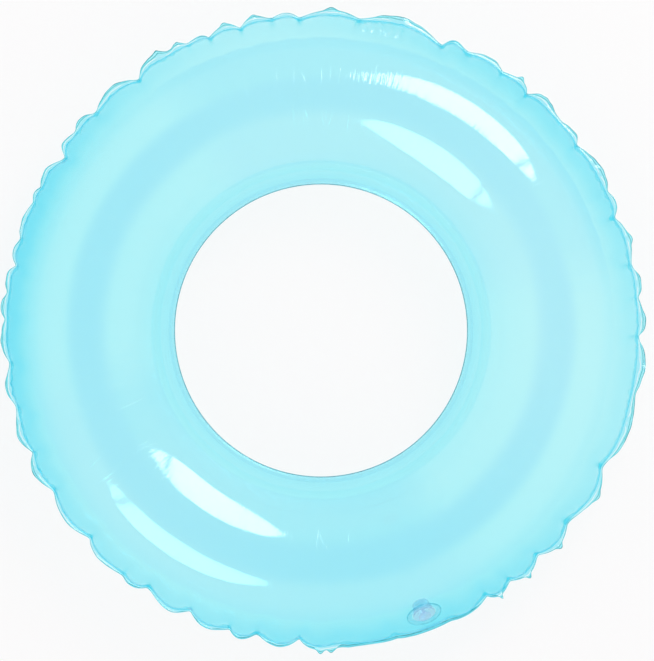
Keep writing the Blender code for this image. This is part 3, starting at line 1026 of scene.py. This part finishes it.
    def pull(self, azimuth: Array, turn: Array) -> Array:
        """Return how far the film is drawn in: the weld's own amount, by the share of the reach squared.

        Args:
            azimuth: a column of angles.
            turn: a row of turns.

        Returns:
            Distances towards the axis, columns x rows.
        """
        start = math.pi - self.reach / self.tube.half_height
        share = np.clip((turn - start) / (math.pi - start), 0.0, 1.0)
        return (self.tube.weld_radius - self.weld(azimuth)) * share**2

    def marks(self, azimuth: Array, turn: Array) -> Array:
        """Return how tightly the film is bunched: a short streak in from each notch, by the notch's depth.

        Args:
            azimuth: a column of angles.
            turn: a row of turns.

        Returns:
            Shares from 0 to 1, columns x rows.
        """
        lobe, share = self.lobe_share(azimuth)
        arc = np.diff(self.edges)[lobe] * self.tube.weld_radius
        away = np.minimum(share, 1 - share) * arc
        low, high = self.mark_turns
        along = smoothstep((turn / math.pi - low) / (high - low))
        strength = np.clip(self.depth(azimuth) / self.mark_depth, 0.0, self.mark_most)
        return np.exp(-((away / self.mark_width) ** 2)) * strength * along

    def relief(self, azimuth: Array, turn: Array) -> Array:
        """Return how far the film stands out along its normal.

        Pillows stand between the notches and a valley runs in from each, narrowing and leaning as it leaves
        the weld. Ripples are short cosines that fade away from the weld, in patches, and waves are long ones.

        Args:
            azimuth: a column of angles.
            turn: a row of turns.

        Returns:
            Offsets along the outward normal, columns x rows.
        """
        draw = np.random.default_rng(self.seed + 2)
        from_weld = math.pi - turn
        leaned = azimuth + self.lean * self.lean_waves.sum(draw, azimuth, turn * 0) * from_weld
        share = self.lobe_share(leaned)[1]
        near = smoothstep(1 - from_weld / self.valley_reach)
        narrow = (1 - self.bulge(share)) ** (1 + 2 * (1 - near))
        deep = np.clip(self.depth(leaned) / self.valley_full, 0.0, self.valley_most)
        valley = -self.valley_depth * deep * narrow * near
        pillow = self.pillow * np.sin(np.pi * share) ** self.pillow_power * near
        mean, size = self.patches
        patches = smoothstep(mean + size * self.patch_waves.sum(draw, azimuth, turn * 0))
        fade = smoothstep(1 - from_weld / self.ripple_reach)
        full, none = self.inner_turns
        inner = self.inner_ripples * smoothstep((none - turn) / (none - full))
        least, more = self.ripple_shares
        ripples = self.ripple_waves.sum(draw, azimuth, turn)
        ripples = ripples * self.ripple_height * ((least + more * patches) * fade + inner)
        waves = self.wave_height * self.long_waves.sum(draw, azimuth, turn)
        return valley + pillow + ripples + waves * np.sin(turn) ** 0.5


@dataclass(frozen=True)
class ValveSeat:
    """The valve's frame on the upper film: X down the film towards the rim, Z out of it."""

    azimuth: float = math.radians(-70)
    turn: float = math.radians(145)
    flat_radius: float = 0.023
    fade_width: float = 0.017
    tube: TubeShape = TubeShape()

    @property
    def axes(self) -> Array:
        """Return the frame's X, Y and Z directions as rows.

        Returns:
            Three unit vectors: down the film, along it, and out of it.
        """
        out_run, out_rise = self.tube.outward(np.array(self.turn))
        toward = np.array([math.cos(self.azimuth), math.sin(self.azimuth), 0.0])
        up = np.array([0.0, 0.0, 1.0])
        out = toward * out_run + up * out_rise
        down = toward * out_rise - up * out_run
        return np.stack([down, np.cross(out, down), out])

    @property
    def origin(self) -> Array:
        """Return the frame's origin, on the film.

        Returns:
            A point in the frame of the solids.
        """
        radius, height = self.tube.section(np.array(self.turn))
        x, y = radius * math.cos(self.azimuth), radius * math.sin(self.azimuth)
        return np.array([x, y, height + self.tube.equator_height], dtype=float)

    def place(self, points: Array) -> Array:
        """Return points of the valve's frame in the frame of the solids."""
        return self.origin + points @ self.axes

    def flatten(self, points: Array) -> Array:
        """Return the film's points moved onto the valve's plane, by as much as they are near the flange.

        Args:
            points: columns x rows x 3, in the frame of the solids.

        Returns:
            The moved points.
        """
        local = (points - self.origin) @ self.axes.T
        distance = np.hypot(local[..., 0], local[..., 1])
        local[..., 2] *= 1 - smoothstep((self.flat_radius + self.fade_width - distance) / self.fade_width)
        return self.origin + local @ self.axes


@dataclass
class FilmPanels:
    """The two sheets of film, each a thin closed skin over half of the tube."""

    tube: TubeShape
    gathers: Gathers
    seat: ValveSeat
    finish: FilmFinish
    thickness: float = 0.0003
    edge_height: float = 0.0006
    columns: int = 1440
    body_rows: int = 25
    body_gaps: Span = (2.0, 1.35)
    flat_ends: float = 0.10
    lower_shift: float = 1 / 7
    weld_heights: tuple[float, ...] = (0.0165, 0.0125, 0.0092, 0.0066, 0.0045, 0.0029, 0.0018, 0.0011)
    hole_radius: float = 0.0120
    hole_depth: float = 0.012
    hole_steps: int = 96

    def turns(self) -> Array:
        """Return the rows' turns: even steps over the body, and steps of falling height beside each weld.

        Returns:
            Turns in radians, rising from the hole's edge to the outer weld.
        """
        last = math.asin(self.edge_height / self.tube.half_height)
        near = np.arcsin(np.array(self.weld_heights) / self.tube.half_height)
        start = near[-3:][::-1]
        by_hole, by_weld = self.body_gaps
        rows = self.body_rows - len(start) - 1
        body = np.linspace(start[-1] * by_hole, math.pi - near[0] * by_weld, rows)
        return np.concatenate([[last], start, body, math.pi - near, [math.pi - last]])

    def outer_face(self, side: Side) -> Array:
        """Return the film's outer face: the tube's section, less the pull, with its relief along the normal.

        The lower film's relief is another mix of the same ripples, shifted round the ring.

        Args:
            side: which panel.

        Returns:
            Points, columns x rows x 3, with the rows running from the hole to the outer weld.
        """
        azimuth, turn = around(self.columns)[:, None], self.turns()[None, :]
        radius, height = self.tube.section(turn)
        radius = radius + self.tube.lean(azimuth, turn)
        out_run, out_rise = self.tube.outward(turn)
        relief = self.gathers.relief(azimuth, turn)
        if side is Side.LOWER:
            relief = (relief + np.roll(relief, int(self.columns * self.lower_shift), axis=0)) / 2
        ends = np.minimum(1.0, np.sin(turn) / self.flat_ends)
        flare = self.tube.flare(turn, height)
        radius = radius - self.gathers.pull(azimuth, turn) + out_run * relief * ends + flare
        height = np.maximum(height + out_rise * relief * ends, self.edge_height)
        if side is Side.LOWER:
            height = self.tube.rest(height)
        points = carried(radius, azimuth, self.tube.equator_height + side.value * height)
        return self.seat.flatten(points) if side is Side.UPPER else points

    def panel(self, side: Side) -> Mesh:
        """Return one panel's mesh: its outer face, and back along the same face moved in by the thickness.

        Args:
            side: which panel.

        Returns:
            A closed mesh with its V value at the turn, from 0 at the hole to 1 at the outer weld.
        """
        outer = self.outer_face(side)
        turn = self.turns() / math.pi
        if side is Side.LOWER:
            outer, turn = outer[:, ::-1], turn[::-1]
        inner = outer - surface_normals(outer) * self.thickness
        points = np.concatenate([outer, inner[:, ::-1]], axis=1)
        v_lines = np.concatenate([turn, turn[::-1], turn[:1]])
        u_lines = np.linspace(0.0, 1.0, self.columns + 1)
        marks = self.gathers.marks(around(self.columns)[:, None], v_lines[None, :-1] * math.pi)
        name = "upper_film" if side is Side.UPPER else "lower_film"
        return grid_mesh(name, points, u_lines, v_lines, gathered=marks)

    def punch(self, piece: bpy.types.Object) -> None:
        """Cut the valve's round hole out of the upper film, with a turned cutter that is then removed.

        Args:
            piece: the upper film's object, which gets the cut mesh.
        """
        radius, half = self.hole_radius, self.hole_depth / 2
        profile = np.array([[0.0, half], [radius, half], [radius, -half], [0.0, -half]])
        cutter = add_object("film_punch", lathe_mesh("film_punch", self.seat, profile, self.hole_steps))
        cut = piece.modifiers.new("valve_hole", "BOOLEAN")
        cut.operation = "DIFFERENCE"
        cut.object = cutter
        depsgraph = bpy.context.evaluated_depsgraph_get()
        punched = bpy.data.meshes.new_from_object(piece.evaluated_get(depsgraph))
        punched.name = piece.data.name
        piece.modifiers.clear()
        piece.data = punched
        bpy.data.objects.remove(cutter)

    def build(self) -> None:
        """Build, dress and place both panels."""
        film = self.finish.make()
        upper = add_piece(self.panel(Side.UPPER), film, ("upper_panel",))
        self.punch(upper)
        lower = add_piece(self.panel(Side.LOWER), film, ("lower_panel",))
        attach(upper, Body.RING.value)
        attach(lower, Body.RING.value)


def rounded(profile: Array, radius: float, steps: int = 4, most: float = 0.45) -> Array:
    """Round the corners of a closed profile: each becomes the quadratic curve between two points beside it.

    Args:
        profile: corners x 2.
        radius: how far from each corner its curve starts.
        steps: points on each curve.
        most: the most that a curve takes of the shorter side beside it.

    Returns:
        The rounded profile, corners * steps x 2.
    """
    sides = [np.roll(profile, step, axis=0) - profile for step in (1, -1)]
    sizes = [np.linalg.norm(side, axis=1, keepdims=True) for side in sides]
    reach = np.minimum(radius, most * np.minimum(*sizes))
    start, end = (profile + side / size * reach for side, size in zip(sides, sizes))
    share = np.linspace(0.0, 1.0, steps)[None, :, None]
    curve = (1 - share) ** 2 * start[:, None] + share**2 * end[:, None]
    curve = curve + 2 * share * (1 - share) * profile[:, None]
    return curve.reshape(-1, 2)


def lathe_mesh(
    name: str, seat: ValveSeat | None, profile: Array, steps: int, v_lines: Array | None = None
) -> Mesh:
    """Make a turned piece, in the valve's frame or about the ring's own axis, with any poles merged.

    Args:
        name: the mesh's name.
        seat: the valve's frame, or None for the ring's axis.
        profile: radius and height, closed, with the outside on the left.
        steps: columns round the axis.
        v_lines: the rows' V values and one more, or None for even steps.

    Returns:
        The closed mesh.
    """
    points = carried(profile[None, :, 0], around(steps)[:, None], profile[None, :, 1])
    if seat is not None:
        points = seat.place(points)
    if v_lines is None:
        v_lines = np.linspace(0.0, 1.0, len(profile) + 1)
    data = grid_mesh(name, points, np.linspace(0.0, 1.0, steps + 1), v_lines)
    if float(profile[:, 0].min()) < AT_POLE:
        work = bmesh.new()
        work.from_mesh(data)
        bmesh.ops.remove_doubles(work, verts=work.verts, dist=AS_ONE)
        bmesh.ops.dissolve_degenerate(work, edges=work.edges, dist=AT_POLE)
        loose = [edge for edge in work.edges if not edge.link_faces]
        bmesh.ops.delete(work, geom=loose, context="EDGES")
        work.to_mesh(data)
        work.free()
    return data


@dataclass
class WeldedSeams:
    """The outer weld's ruffled band, and the inner weld's bead and band."""

    tube: TubeShape
    gathers: Gathers
    finish: WeldFinish
    inner_finish: WeldFinish
    band_width: float = 0.0084
    notch_width: float = 0.0046
    band_thickness: float = 0.00054
    lap: float = 0.0010
    flat_share: float = 0.16
    bent_share: float = 0.85
    columns: int = 1440
    rows: int = 17
    tabled_bends: int = 91
    tabled_cells: int = 40
    curled_side: float = math.radians(195)
    curled_half: float = math.radians(75)
    folded_bend: float = math.radians(148)
    corner: tuple[float, float, float] = (math.radians(120.6), math.radians(1.1), 0.0052)
    ruffle: float = 0.00028
    ruffle_waves: Waves = Waves((40, 150), 0.0, 14)
    least_fold: float = 0.0004
    way_change: Span = (0.35, 0.65)
    shown_least: float = -0.2
    back_wander: float = 0.15
    back_waves: Waves = Waves((8, 40), 0.0, 10)
    cut_edge: Span = (0.999, 0.5)
    inner_width: float = 0.0055
    inner_steps: int = 480
    bead_radius: float = 0.00055
    bead_inset: float = -0.0002
    bead_turns: Span = (1.75 * math.pi, 0.25 * math.pi)
    bead_steps: int = 13

    def bend(self, across: Array) -> Array:
        """Return the share of the full bend reached across the band, from its flat root to its free edge."""
        return smoothstep((across - self.flat_share) / (self.bent_share - self.flat_share))

    def bend_for(self, shown: Array) -> Array:
        """Return the bend that makes the band look narrower by a share, seen from above.

        The share seen is the mean cosine of the slope across the band. It is tabled over bends up to half a
        turn, where it only falls, and read backwards.

        Args:
            shown: the width seen from above over the full width.

        Returns:
            Bends in radians.
        """
        bends = np.linspace(0.0, math.pi, self.tabled_bends)
        across = (np.arange(self.tabled_cells) + 0.5) / self.tabled_cells
        seen = np.cos(bends[:, None] * self.bend(across)[None, :]).mean(axis=1)
        return np.interp(-shown, -seen, bends)

    def tilt_and_width(self, azimuth: Array) -> Pair:
        """Return how far the band bends up or down by its free edge, and its full width.

        Seen from above it reaches from the weld to the outline, so where that is less than its full width it
        bends: up on the curled side, and up or down from lobe to lobe elsewhere. It is narrower at the
        notches, and lies folded back over itself on one stretch.

        Args:
            azimuth: angles round the ring.

        Returns:
            Bends in radians, and widths.
        """
        draw = np.random.default_rng(self.gathers.seed + 1)
        lobe, share = self.gathers.lobe_share(azimuth)
        bulge = self.gathers.bulge(share)
        middle, spread, reach = self.corner
        corner = reach * np.exp(-np.abs(turned_away(azimuth, middle)) / spread)
        uneven = self.ruffle * self.ruffle_waves.sum(draw, azimuth, azimuth * 0)
        seen = self.gathers.outline(azimuth) + corner + uneven - self.gathers.weld(azimuth)
        width = self.notch_width + (self.band_width - self.notch_width) * bulge
        width = np.maximum(width, seen + self.least_fold)
        share_back = self.gathers.fold_share(azimuth)
        ways = np.where(draw.random(len(self.gathers.arcs)) < 0.5, 1.0, -1.0)
        curled = np.abs(turned_away(self.gathers.edges[:-1], self.curled_side)) < self.curled_half
        ways = np.where(curled, 1.0, ways)
        next_way = ways[(lobe + 1) % len(ways)]
        start, end = self.way_change
        way = ways[lobe] + (next_way - ways[lobe]) * smoothstep((share - start) / (end - start))
        tilt = way * self.bend_for(np.clip(seen / width, self.shown_least, 1.0))
        back = self.band_width * (1 + self.back_wander * self.back_waves.sum(draw, azimuth, azimuth * 0))
        tilt = tilt * (1 - share_back) + self.folded_bend * share_back
        return tilt, width * (1 - share_back) + back * share_back

    def middle(self) -> Pair:
        """Return the outer band's middle surface and how far across it each row lies.

        It leaves the weld flat, and its slope then eases to the full bend. Radius and height are the running
        sums of the slope's cosine and sine.

        Returns:
            Points, columns x rows x 2 (radius and height above the equator), and shares across, one a row.
        """
        azimuth = around(self.columns)
        tilt, width = self.tilt_and_width(azimuth)
        weld = self.gathers.weld(azimuth)
        across = np.linspace(0.0, 1.0, self.rows - 1)
        slope = tilt[:, None] * self.bend((across[1:] + across[:-1]) / 2)[None, :]
        step = width[:, None] * np.diff(across)[None, :]
        start = np.zeros((self.columns, 1))
        run = np.concatenate([start - self.lap, start, np.cumsum(np.cos(slope) * step, axis=1)], axis=1)
        rise = np.concatenate([start, start, np.cumsum(np.sin(slope) * step, axis=1)], axis=1)
        return np.stack([weld[:, None] + run, rise], axis=2), np.concatenate([[0.0], across])

    def outer_band(self) -> Mesh:
        """Return the outer band: its middle surface made thick both ways, but thinner at the cut edge.

        Returns:
            A closed mesh with its V value from 0 at the weld to 1 at the cut edge.
        """
        middle, across = self.middle()
        last, thinner = self.cut_edge
        half = self.band_thickness / 2 * np.where(across > last, thinner, 1.0)
        move = left_of(middle) * half[None, :, None]
        loop = np.concatenate([middle + move, (middle - move)[:, ::-1]], axis=1)
        height = loop[..., 1] + self.tube.equator_height
        points = carried(loop[..., 0], around(self.columns)[:, None], height)
        v_lines = np.concatenate([across, across[::-1], across[:1]])
        return grid_mesh("outer_weld", points, np.linspace(0.0, 1.0, self.columns + 1), v_lines)

    def inner_band(self) -> Mesh:
        """Return the inner weld: a flat band inside the chamber, and a round bead at the hole's edge.

        Returns:
            A closed mesh with a V value of 1 on the bead.
        """
        half = self.band_thickness / 2
        centre = self.tube.hole_radius - self.bead_inset
        angle = np.linspace(*self.bead_turns, self.bead_steps)
        bead = np.stack([centre + self.bead_radius * np.cos(angle), self.bead_radius * np.sin(angle)], axis=1)
        neck, far = centre + self.bead_radius, self.tube.hole_radius + self.inner_width
        band = np.array([[neck, half], [far, half], [far, -half], [neck, -half]])
        profile = np.concatenate([bead, band]) + np.array([0.0, self.tube.equator_height])
        v_lines = np.concatenate([np.ones(len(bead)), np.full(len(band), 0.5), [1.0]])
        return lathe_mesh("inner_weld", None, profile, self.inner_steps, v_lines)

    def build(self) -> None:
        """Build, dress and place both welds."""
        outer = add_piece(self.outer_band(), self.finish.make(), ("outer_weld_seam",))
        inner = add_piece(self.inner_band(), self.inner_finish.make(), ("inner_weld_seam",))
        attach(outer, Body.RING.value)
        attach(inner, Body.RING.value)


@dataclass
class Valve:
    """The push-in valve: flange, web, stem, stopper, strap and flap, in the valve's frame, in millimetres."""

    seat: ValveSeat
    flange_finish: ClearPlasticFinish
    clear: ClearPlasticFinish
    stem_finish: ClearPlasticFinish
    web_finish: MilkyPlasticFinish
    milky: MilkyPlasticFinish
    steps: int = 96
    flange: Profile = (
        ((10.95, 0.02), (10.95, 1.15), (11.90, 1.15), (12.40, 0.72))
        + ((15.60, 0.66), (16.00, 1.00), (16.70, 0.96), (17.00, 0.02))
    )
    flange_rounding: float = 0.3
    web: Profile = (
        ((9.90, 0.90), (10.70, 0.90), (10.70, -1.00), (7.60, -12.60))
        + ((6.80, -12.60), (6.80, -11.20), (9.90, -1.00))
    )
    stem: Profile = (
        ((3.70, 1.80), (5.00, 1.80), (5.00, -11.20)) + ((6.50, -11.20), (6.50, -12.60), (3.70, -12.60))
    )
    wall_rounding: float = 0.4
    stopper: Profile = (
        ((5.60, 3.60), (6.20, 3.00), (6.20, 2.10), (3.45, 2.10), (3.45, 1.40))
        + ((2.95, 0.60), (2.95, -0.90), (3.30, -1.70), (2.30, -2.90))
    )
    stopper_rounding: float = 0.25
    dish_radii: Span = (3.2, 3.6)
    dish_depth: float = 0.25
    strap_width: float = 3.0
    strap_thickness: float = 0.6
    strap_rounding: float = 0.25
    strap_steps: int = 33
    strap_pull: Profile = ((-4.80, -1.85), (-8.90, -1.90), (-7.90, 0.90), (-5.65, 0.50), (-5.65, 2.35))
    strap_bends: Span = (-1.60, 1.90)

    def turned(self, name: str, profile: Profile, radius: float) -> Mesh:
        """Return a turned piece of the valve with its corners rounded."""
        return lathe_mesh(name, self.seat, rounded(np.array(profile), radius) * MILLIMETRE, self.steps)

    def stopper_mesh(self) -> Mesh:
        """Return the stopper: its profile rounded with its mirror image, closed on the axis, and dished.

        Returns:
            The stopper's closed mesh.
        """
        corners = np.array(self.stopper)
        mirrored = corners[::-1] * np.array([-1.0, 1.0])
        points = rounded(np.concatenate([corners, mirrored]), self.stopper_rounding)
        points = points[points[:, 0] > 0]
        (flat, rim), high, low = self.dish_radii, points[0, 1], points[-1, 1]
        dish = [[0.0, high - self.dish_depth], [flat, high - self.dish_depth], [rim, high]]
        profile = np.concatenate([dish, points, [[0.0, low]]]) * MILLIMETRE
        return lathe_mesh("stopper_cap", self.seat, profile, self.steps)

    def strap_mesh(self) -> Mesh:
        """Return the strap: a rounded rectangle carried in a loop from the stem to the cap's underside.

        The loop is a Bezier curve: each pull point counts with its share of the binomial expansion of
        one, and the open stopper then clears the flange.

        Returns:
            The strap's mesh, closed at both ends.
        """
        pulls = np.array(self.strap_pull)
        last, way = len(pulls) - 1, np.linspace(0.0, 1.0, self.strap_steps)[:, None]
        order = np.arange(last + 1)
        counts = np.array([math.comb(last, int(step)) for step in order])
        path = (counts * way**order * (1 - way) ** (last - order)) @ pulls
        halves = np.array([self.strap_width, self.strap_thickness]) / 2
        section = rounded(np.array([[-1, -1], [1, -1], [1, 1], [-1, 1]]) * halves, self.strap_rounding)
        flat = path[:, None] + left_of(path)[:, None] * section[None, :, 1:]
        y = np.broadcast_to(section[None, :, 0], flat.shape[:2])
        points = self.seat.place(np.stack([flat[..., 0], y, flat[..., 1]], axis=2) * MILLIMETRE)
        u_lines, v_lines = np.linspace(0.0, 1.0, len(path) + 1), np.linspace(0.0, 1.0, len(section) + 1)
        return grid_mesh("strap", points, u_lines, v_lines, wrap_columns=False)

    def at(self, x: float, z: float) -> tuple[float, ...]:
        """Return a point of the valve's middle plane, given in millimetres, in the frame of the solids."""
        return tuple(float(c) for c in self.seat.place(np.array([x, 0.0, z]) * MILLIMETRE))

    def build(self) -> None:
        """Build, dress and place the valve's pieces."""
        clear, hollow, milky = self.clear.make(), self.stem_finish.make(), self.milky.make()
        data = self.turned("flange", self.flange, self.flange_rounding)
        flange = add_piece(data, self.flange_finish.make(), ("valve_flange",))
        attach(flange, Body.RING.value)
        data = self.turned("web", self.web, self.wall_rounding)
        web = add_piece(data, self.web_finish.make(), ("valve_web",))
        self.at(0.0, -1.0)
        self.at(0.0, -11.2)
        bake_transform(web)
        data = self.turned("stem_tube", self.stem, self.wall_rounding)
        stem = add_piece(data, hollow, ("valve_stem",))
        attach(stem, Body.STEM.value)
        cap = add_piece(self.stopper_mesh(), milky, ("stopper",))
        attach(cap, Body.STOPPER.value)
        strap = add_piece(self.strap_mesh(), milky, ("stopper_strap",))
        start, end = (self.at(self.strap_pull[-1][0], height) for height in self.strap_bends)
        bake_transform(strap)
        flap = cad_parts["check_flap"]
        flap.data.materials.clear()
        flap.data.materials.append(clear)
        log.info("check_flap: the packed solid, in clear plastic")


@dataclass(frozen=True)
class Softbox:
    """A round studio lamp with a bar across it, by where it stands and how wide it looks from the ring."""

    name: str = "round_softbox"
    azimuth: float = 59.2
    from_top: float = 36.5
    half_width: float = 0.2700
    half_height: float = 0.2773
    radiance: float = 7.0
    distance: float = 3.2
    round_centre: float = -0.034
    round_half: float = 0.220
    squareness: float = 2.3
    round_edge: Span = (1.0, 0.80)
    round_slant: float = 0.12
    bar_centre: float = -0.205
    bar_edge: Span = (0.0075, 0.0135)
    bar_slant: float = 0.33
    white: Colour = (1.0, 1.0, 1.0)

    def dress(self, tree: bpy.types.NodeTree) -> None:
        """Shape the lamp's face: a slanted ellipse, a little squared, dark on the slanted bar across it.

        A slant shifts a shape sideways in proportion to the height. Its numbers are as wide as they look from
        the ring, as the lamp's own are.

        Args:
            tree: the lamp's node tree.
        """
        graph = Graph(tree)
        face = graph.add("ShaderNodeNewGeometry").outputs["Parametric"]
        parts = graph.add("ShaderNodeSeparateXYZ", {0: face}).outputs
        side = graph.scaled(parts["X"], 2 * self.half_width, -self.half_width)
        rise = graph.scaled(parts["Y"], 2 * self.half_height, -self.half_height)
        shapes = ((self.round_slant, self.round_centre), (self.bar_slant, self.bar_centre))
        x, away = (
            graph.math("SUBTRACT", graph.scaled(rise, -slant, side), centre)
            for slant, centre in shapes
        )
        x, y = graph.math("DIVIDE", x, self.round_half), graph.math("DIVIDE", rise, self.half_height)
        x, y = (graph.math("POWER", graph.math("ABSOLUTE", part), self.squareness) for part in (x, y))
        inside = graph.ramp(graph.math("ADD", x, y), *self.round_edge)
        clear = graph.ramp(graph.math("ABSOLUTE", away), *self.bar_edge)
        glow = {"Color": opaque(self.white), "Strength": graph.times(inside, clear)}
        shader = graph.add("ShaderNodeEmission", glow)
        graph.add("ShaderNodeOutputLight", {"Surface": shader.outputs[0]})

    def build(self) -> None:
        """Add the lamp, facing the ring: its power is its radiance times its area times pi."""
        data = bpy.data.lights.new(self.name, "AREA")
        data.shape = "RECTANGLE"
        data.size = 2 * self.distance * self.half_width
        data.size_y = 2 * self.distance * self.half_height
        data.energy = self.radiance * math.pi * data.size * data.size_y
        data.use_nodes = True
        self.dress(data.node_tree)
        lamp = add_object(self.name, data)
        azimuth, tilt = math.radians(self.azimuth), math.radians(self.from_top)
        lamp.rotation_euler = (tilt, 0.0, azimuth + math.pi / 2)
        side, height = self.distance * math.sin(tilt), self.distance * math.cos(tilt)
        lamp.location = (side * math.cos(azimuth), side * math.sin(azimuth), height)
        lamp.visible_camera = False


@dataclass
class Studio:
    """The plain floor, the lamp, the surrounding light and the camera straight above."""

    floor: FloorFinish = FloorFinish()
    lamp: Softbox = Softbox()
    floor_size: float = 40.0
    floor_height: float = -0.0004
    bright: Colour = (1.0, 1.0, 1.0)
    dim: Colour = (0.18, 0.45, 0.92)
    overhead_from: Span = (0.86, 0.995)
    behind_lamp: float = math.radians(68)
    behind_ends: Span = (math.radians(62), math.radians(46))
    camera_height: float = 6.0
    sight_height: float = 0.0708
    pixel: float = 0.000953
    image_height: int = 661
    middle: Span = (0.0057, 0.0)
    sensor: float = 36.0
    clear_layers: int = 48

    def add_floor(self) -> None:
        """Add the floor, just under the ring."""
        data = bpy.data.meshes.new("studio_floor")
        half, z = self.floor_size / 2, self.floor_height
        corners = [(-half, -half, z), (half, -half, z), (half, half, z), (-half, half, z)]
        data.from_pydata(corners, [], [(0, 1, 2, 3)])
        data.materials.append(self.floor.make())
        floor = add_object("studio_floor", data)

    def add_world(self) -> None:
        """Add the surrounding light: white and even, but dimmer and cooler overhead and behind the lamp."""
        world = bpy.data.worlds.new("studio_light")
        world.use_nodes = True
        graph = Graph(world.node_tree)
        direction = graph.add("ShaderNodeTexCoord").outputs["Generated"]
        height = graph.add("ShaderNodeSeparateXYZ", {0: direction}).outputs["Z"]
        overhead = graph.ramp(height, *self.overhead_from)
        behind = graph.stretch(direction, self.behind_lamp, self.behind_ends)
        colour = graph.blend(graph.most(overhead, behind), self.bright, self.dim)
        shader = graph.add("ShaderNodeBackground", {"Color": colour, "Strength": 1.0})
        graph.add("ShaderNodeOutputWorld", {"Surface": shader.outputs[0]})
        bpy.context.scene.world = world

    def add_camera(self) -> None:
        """Add the camera above the ring, its lens set by the length that a pixel spans at the welds."""
        data = bpy.data.cameras.new("camera")
        data.sensor_width = self.sensor
        sight = self.camera_height - self.sight_height
        data.lens = self.sensor * sight / (self.image_height * self.pixel)
        camera = add_object("camera", data)
        camera.location = (*self.middle, self.camera_height)
        bpy.context.scene.camera = camera

    def build(self) -> None:
        """Add everything round the ring, and set how the render reads its colours."""
        self.add_floor()
        self.add_world()
        self.add_camera()
        self.lamp.build()
        scene = bpy.context.scene
        scene.view_settings.view_transform = "Standard"
        scene.cycles.transparent_max_bounces = self.clear_layers
        log.info("studio: floor, camera and %s", self.lamp.name)


def main() -> None:
    """Build the studio and each sub-assembly in order."""
    logging.basicConfig(level=logging.INFO, format="%(name)s %(message)s")
    tube = TubeShape()
    gathers, seat = Gathers(tube), ValveSeat(tube=tube)
    Studio().build()
    FilmPanels(tube, gathers, seat, FilmFinish()).build()
    clear_band: Colour = (0.975, 0.997, 1.0)
    inner_weld = WeldFinish(
        name="inner_weld_finish",
        root=clear_band,
        between=clear_band,
        turned=clear_band,
        lines=(0.28, 0.66, 0.70),
        second_strength=0.0,
        highlight_strength=0.0,
        least_line=0.85,
    )
    WeldedSeams(tube, gathers, WeldFinish(), inner_weld).build()
    flange_skin = ClearSkin(haze_share=0.01, gloss_face_on=0.040, gloss_edge_on=0.30, roughness=0.12)
    flange = ClearPlasticFinish(name="clear_flange_finish", skin=flange_skin, has_rim=True)
    stem_finish = ClearPlasticFinish(
        name="clear_stem_finish",
        face_on=(0.99, 0.998, 1.0),
        edge_on=(0.97, 0.985, 1.0),
        haze=(0.85, 0.93, 1.0),
        skin=ClearSkin(haze_share=0.01, gloss_face_on=0.020, gloss_edge_on=0.10, roughness=0.12),
    )
    web_skin = ClearSkin(haze_share=0.15, gloss_face_on=0.040, gloss_edge_on=0.20, roughness=0.18)
    web_finish = MilkyPlasticFinish(
        name="milky_web_finish",
        face_on=(0.955, 0.975, 1.0),
        edge_on=(0.93, 0.96, 1.0),
        pale=(0.86, 0.90, 1.0),
        deep=(0.80, 0.87, 1.0),
        skin=web_skin,
    )
    Valve(seat, flange, ClearPlasticFinish(), stem_finish, web_finish, MilkyPlasticFinish()).build()


if __name__ == "__main__":
    main()
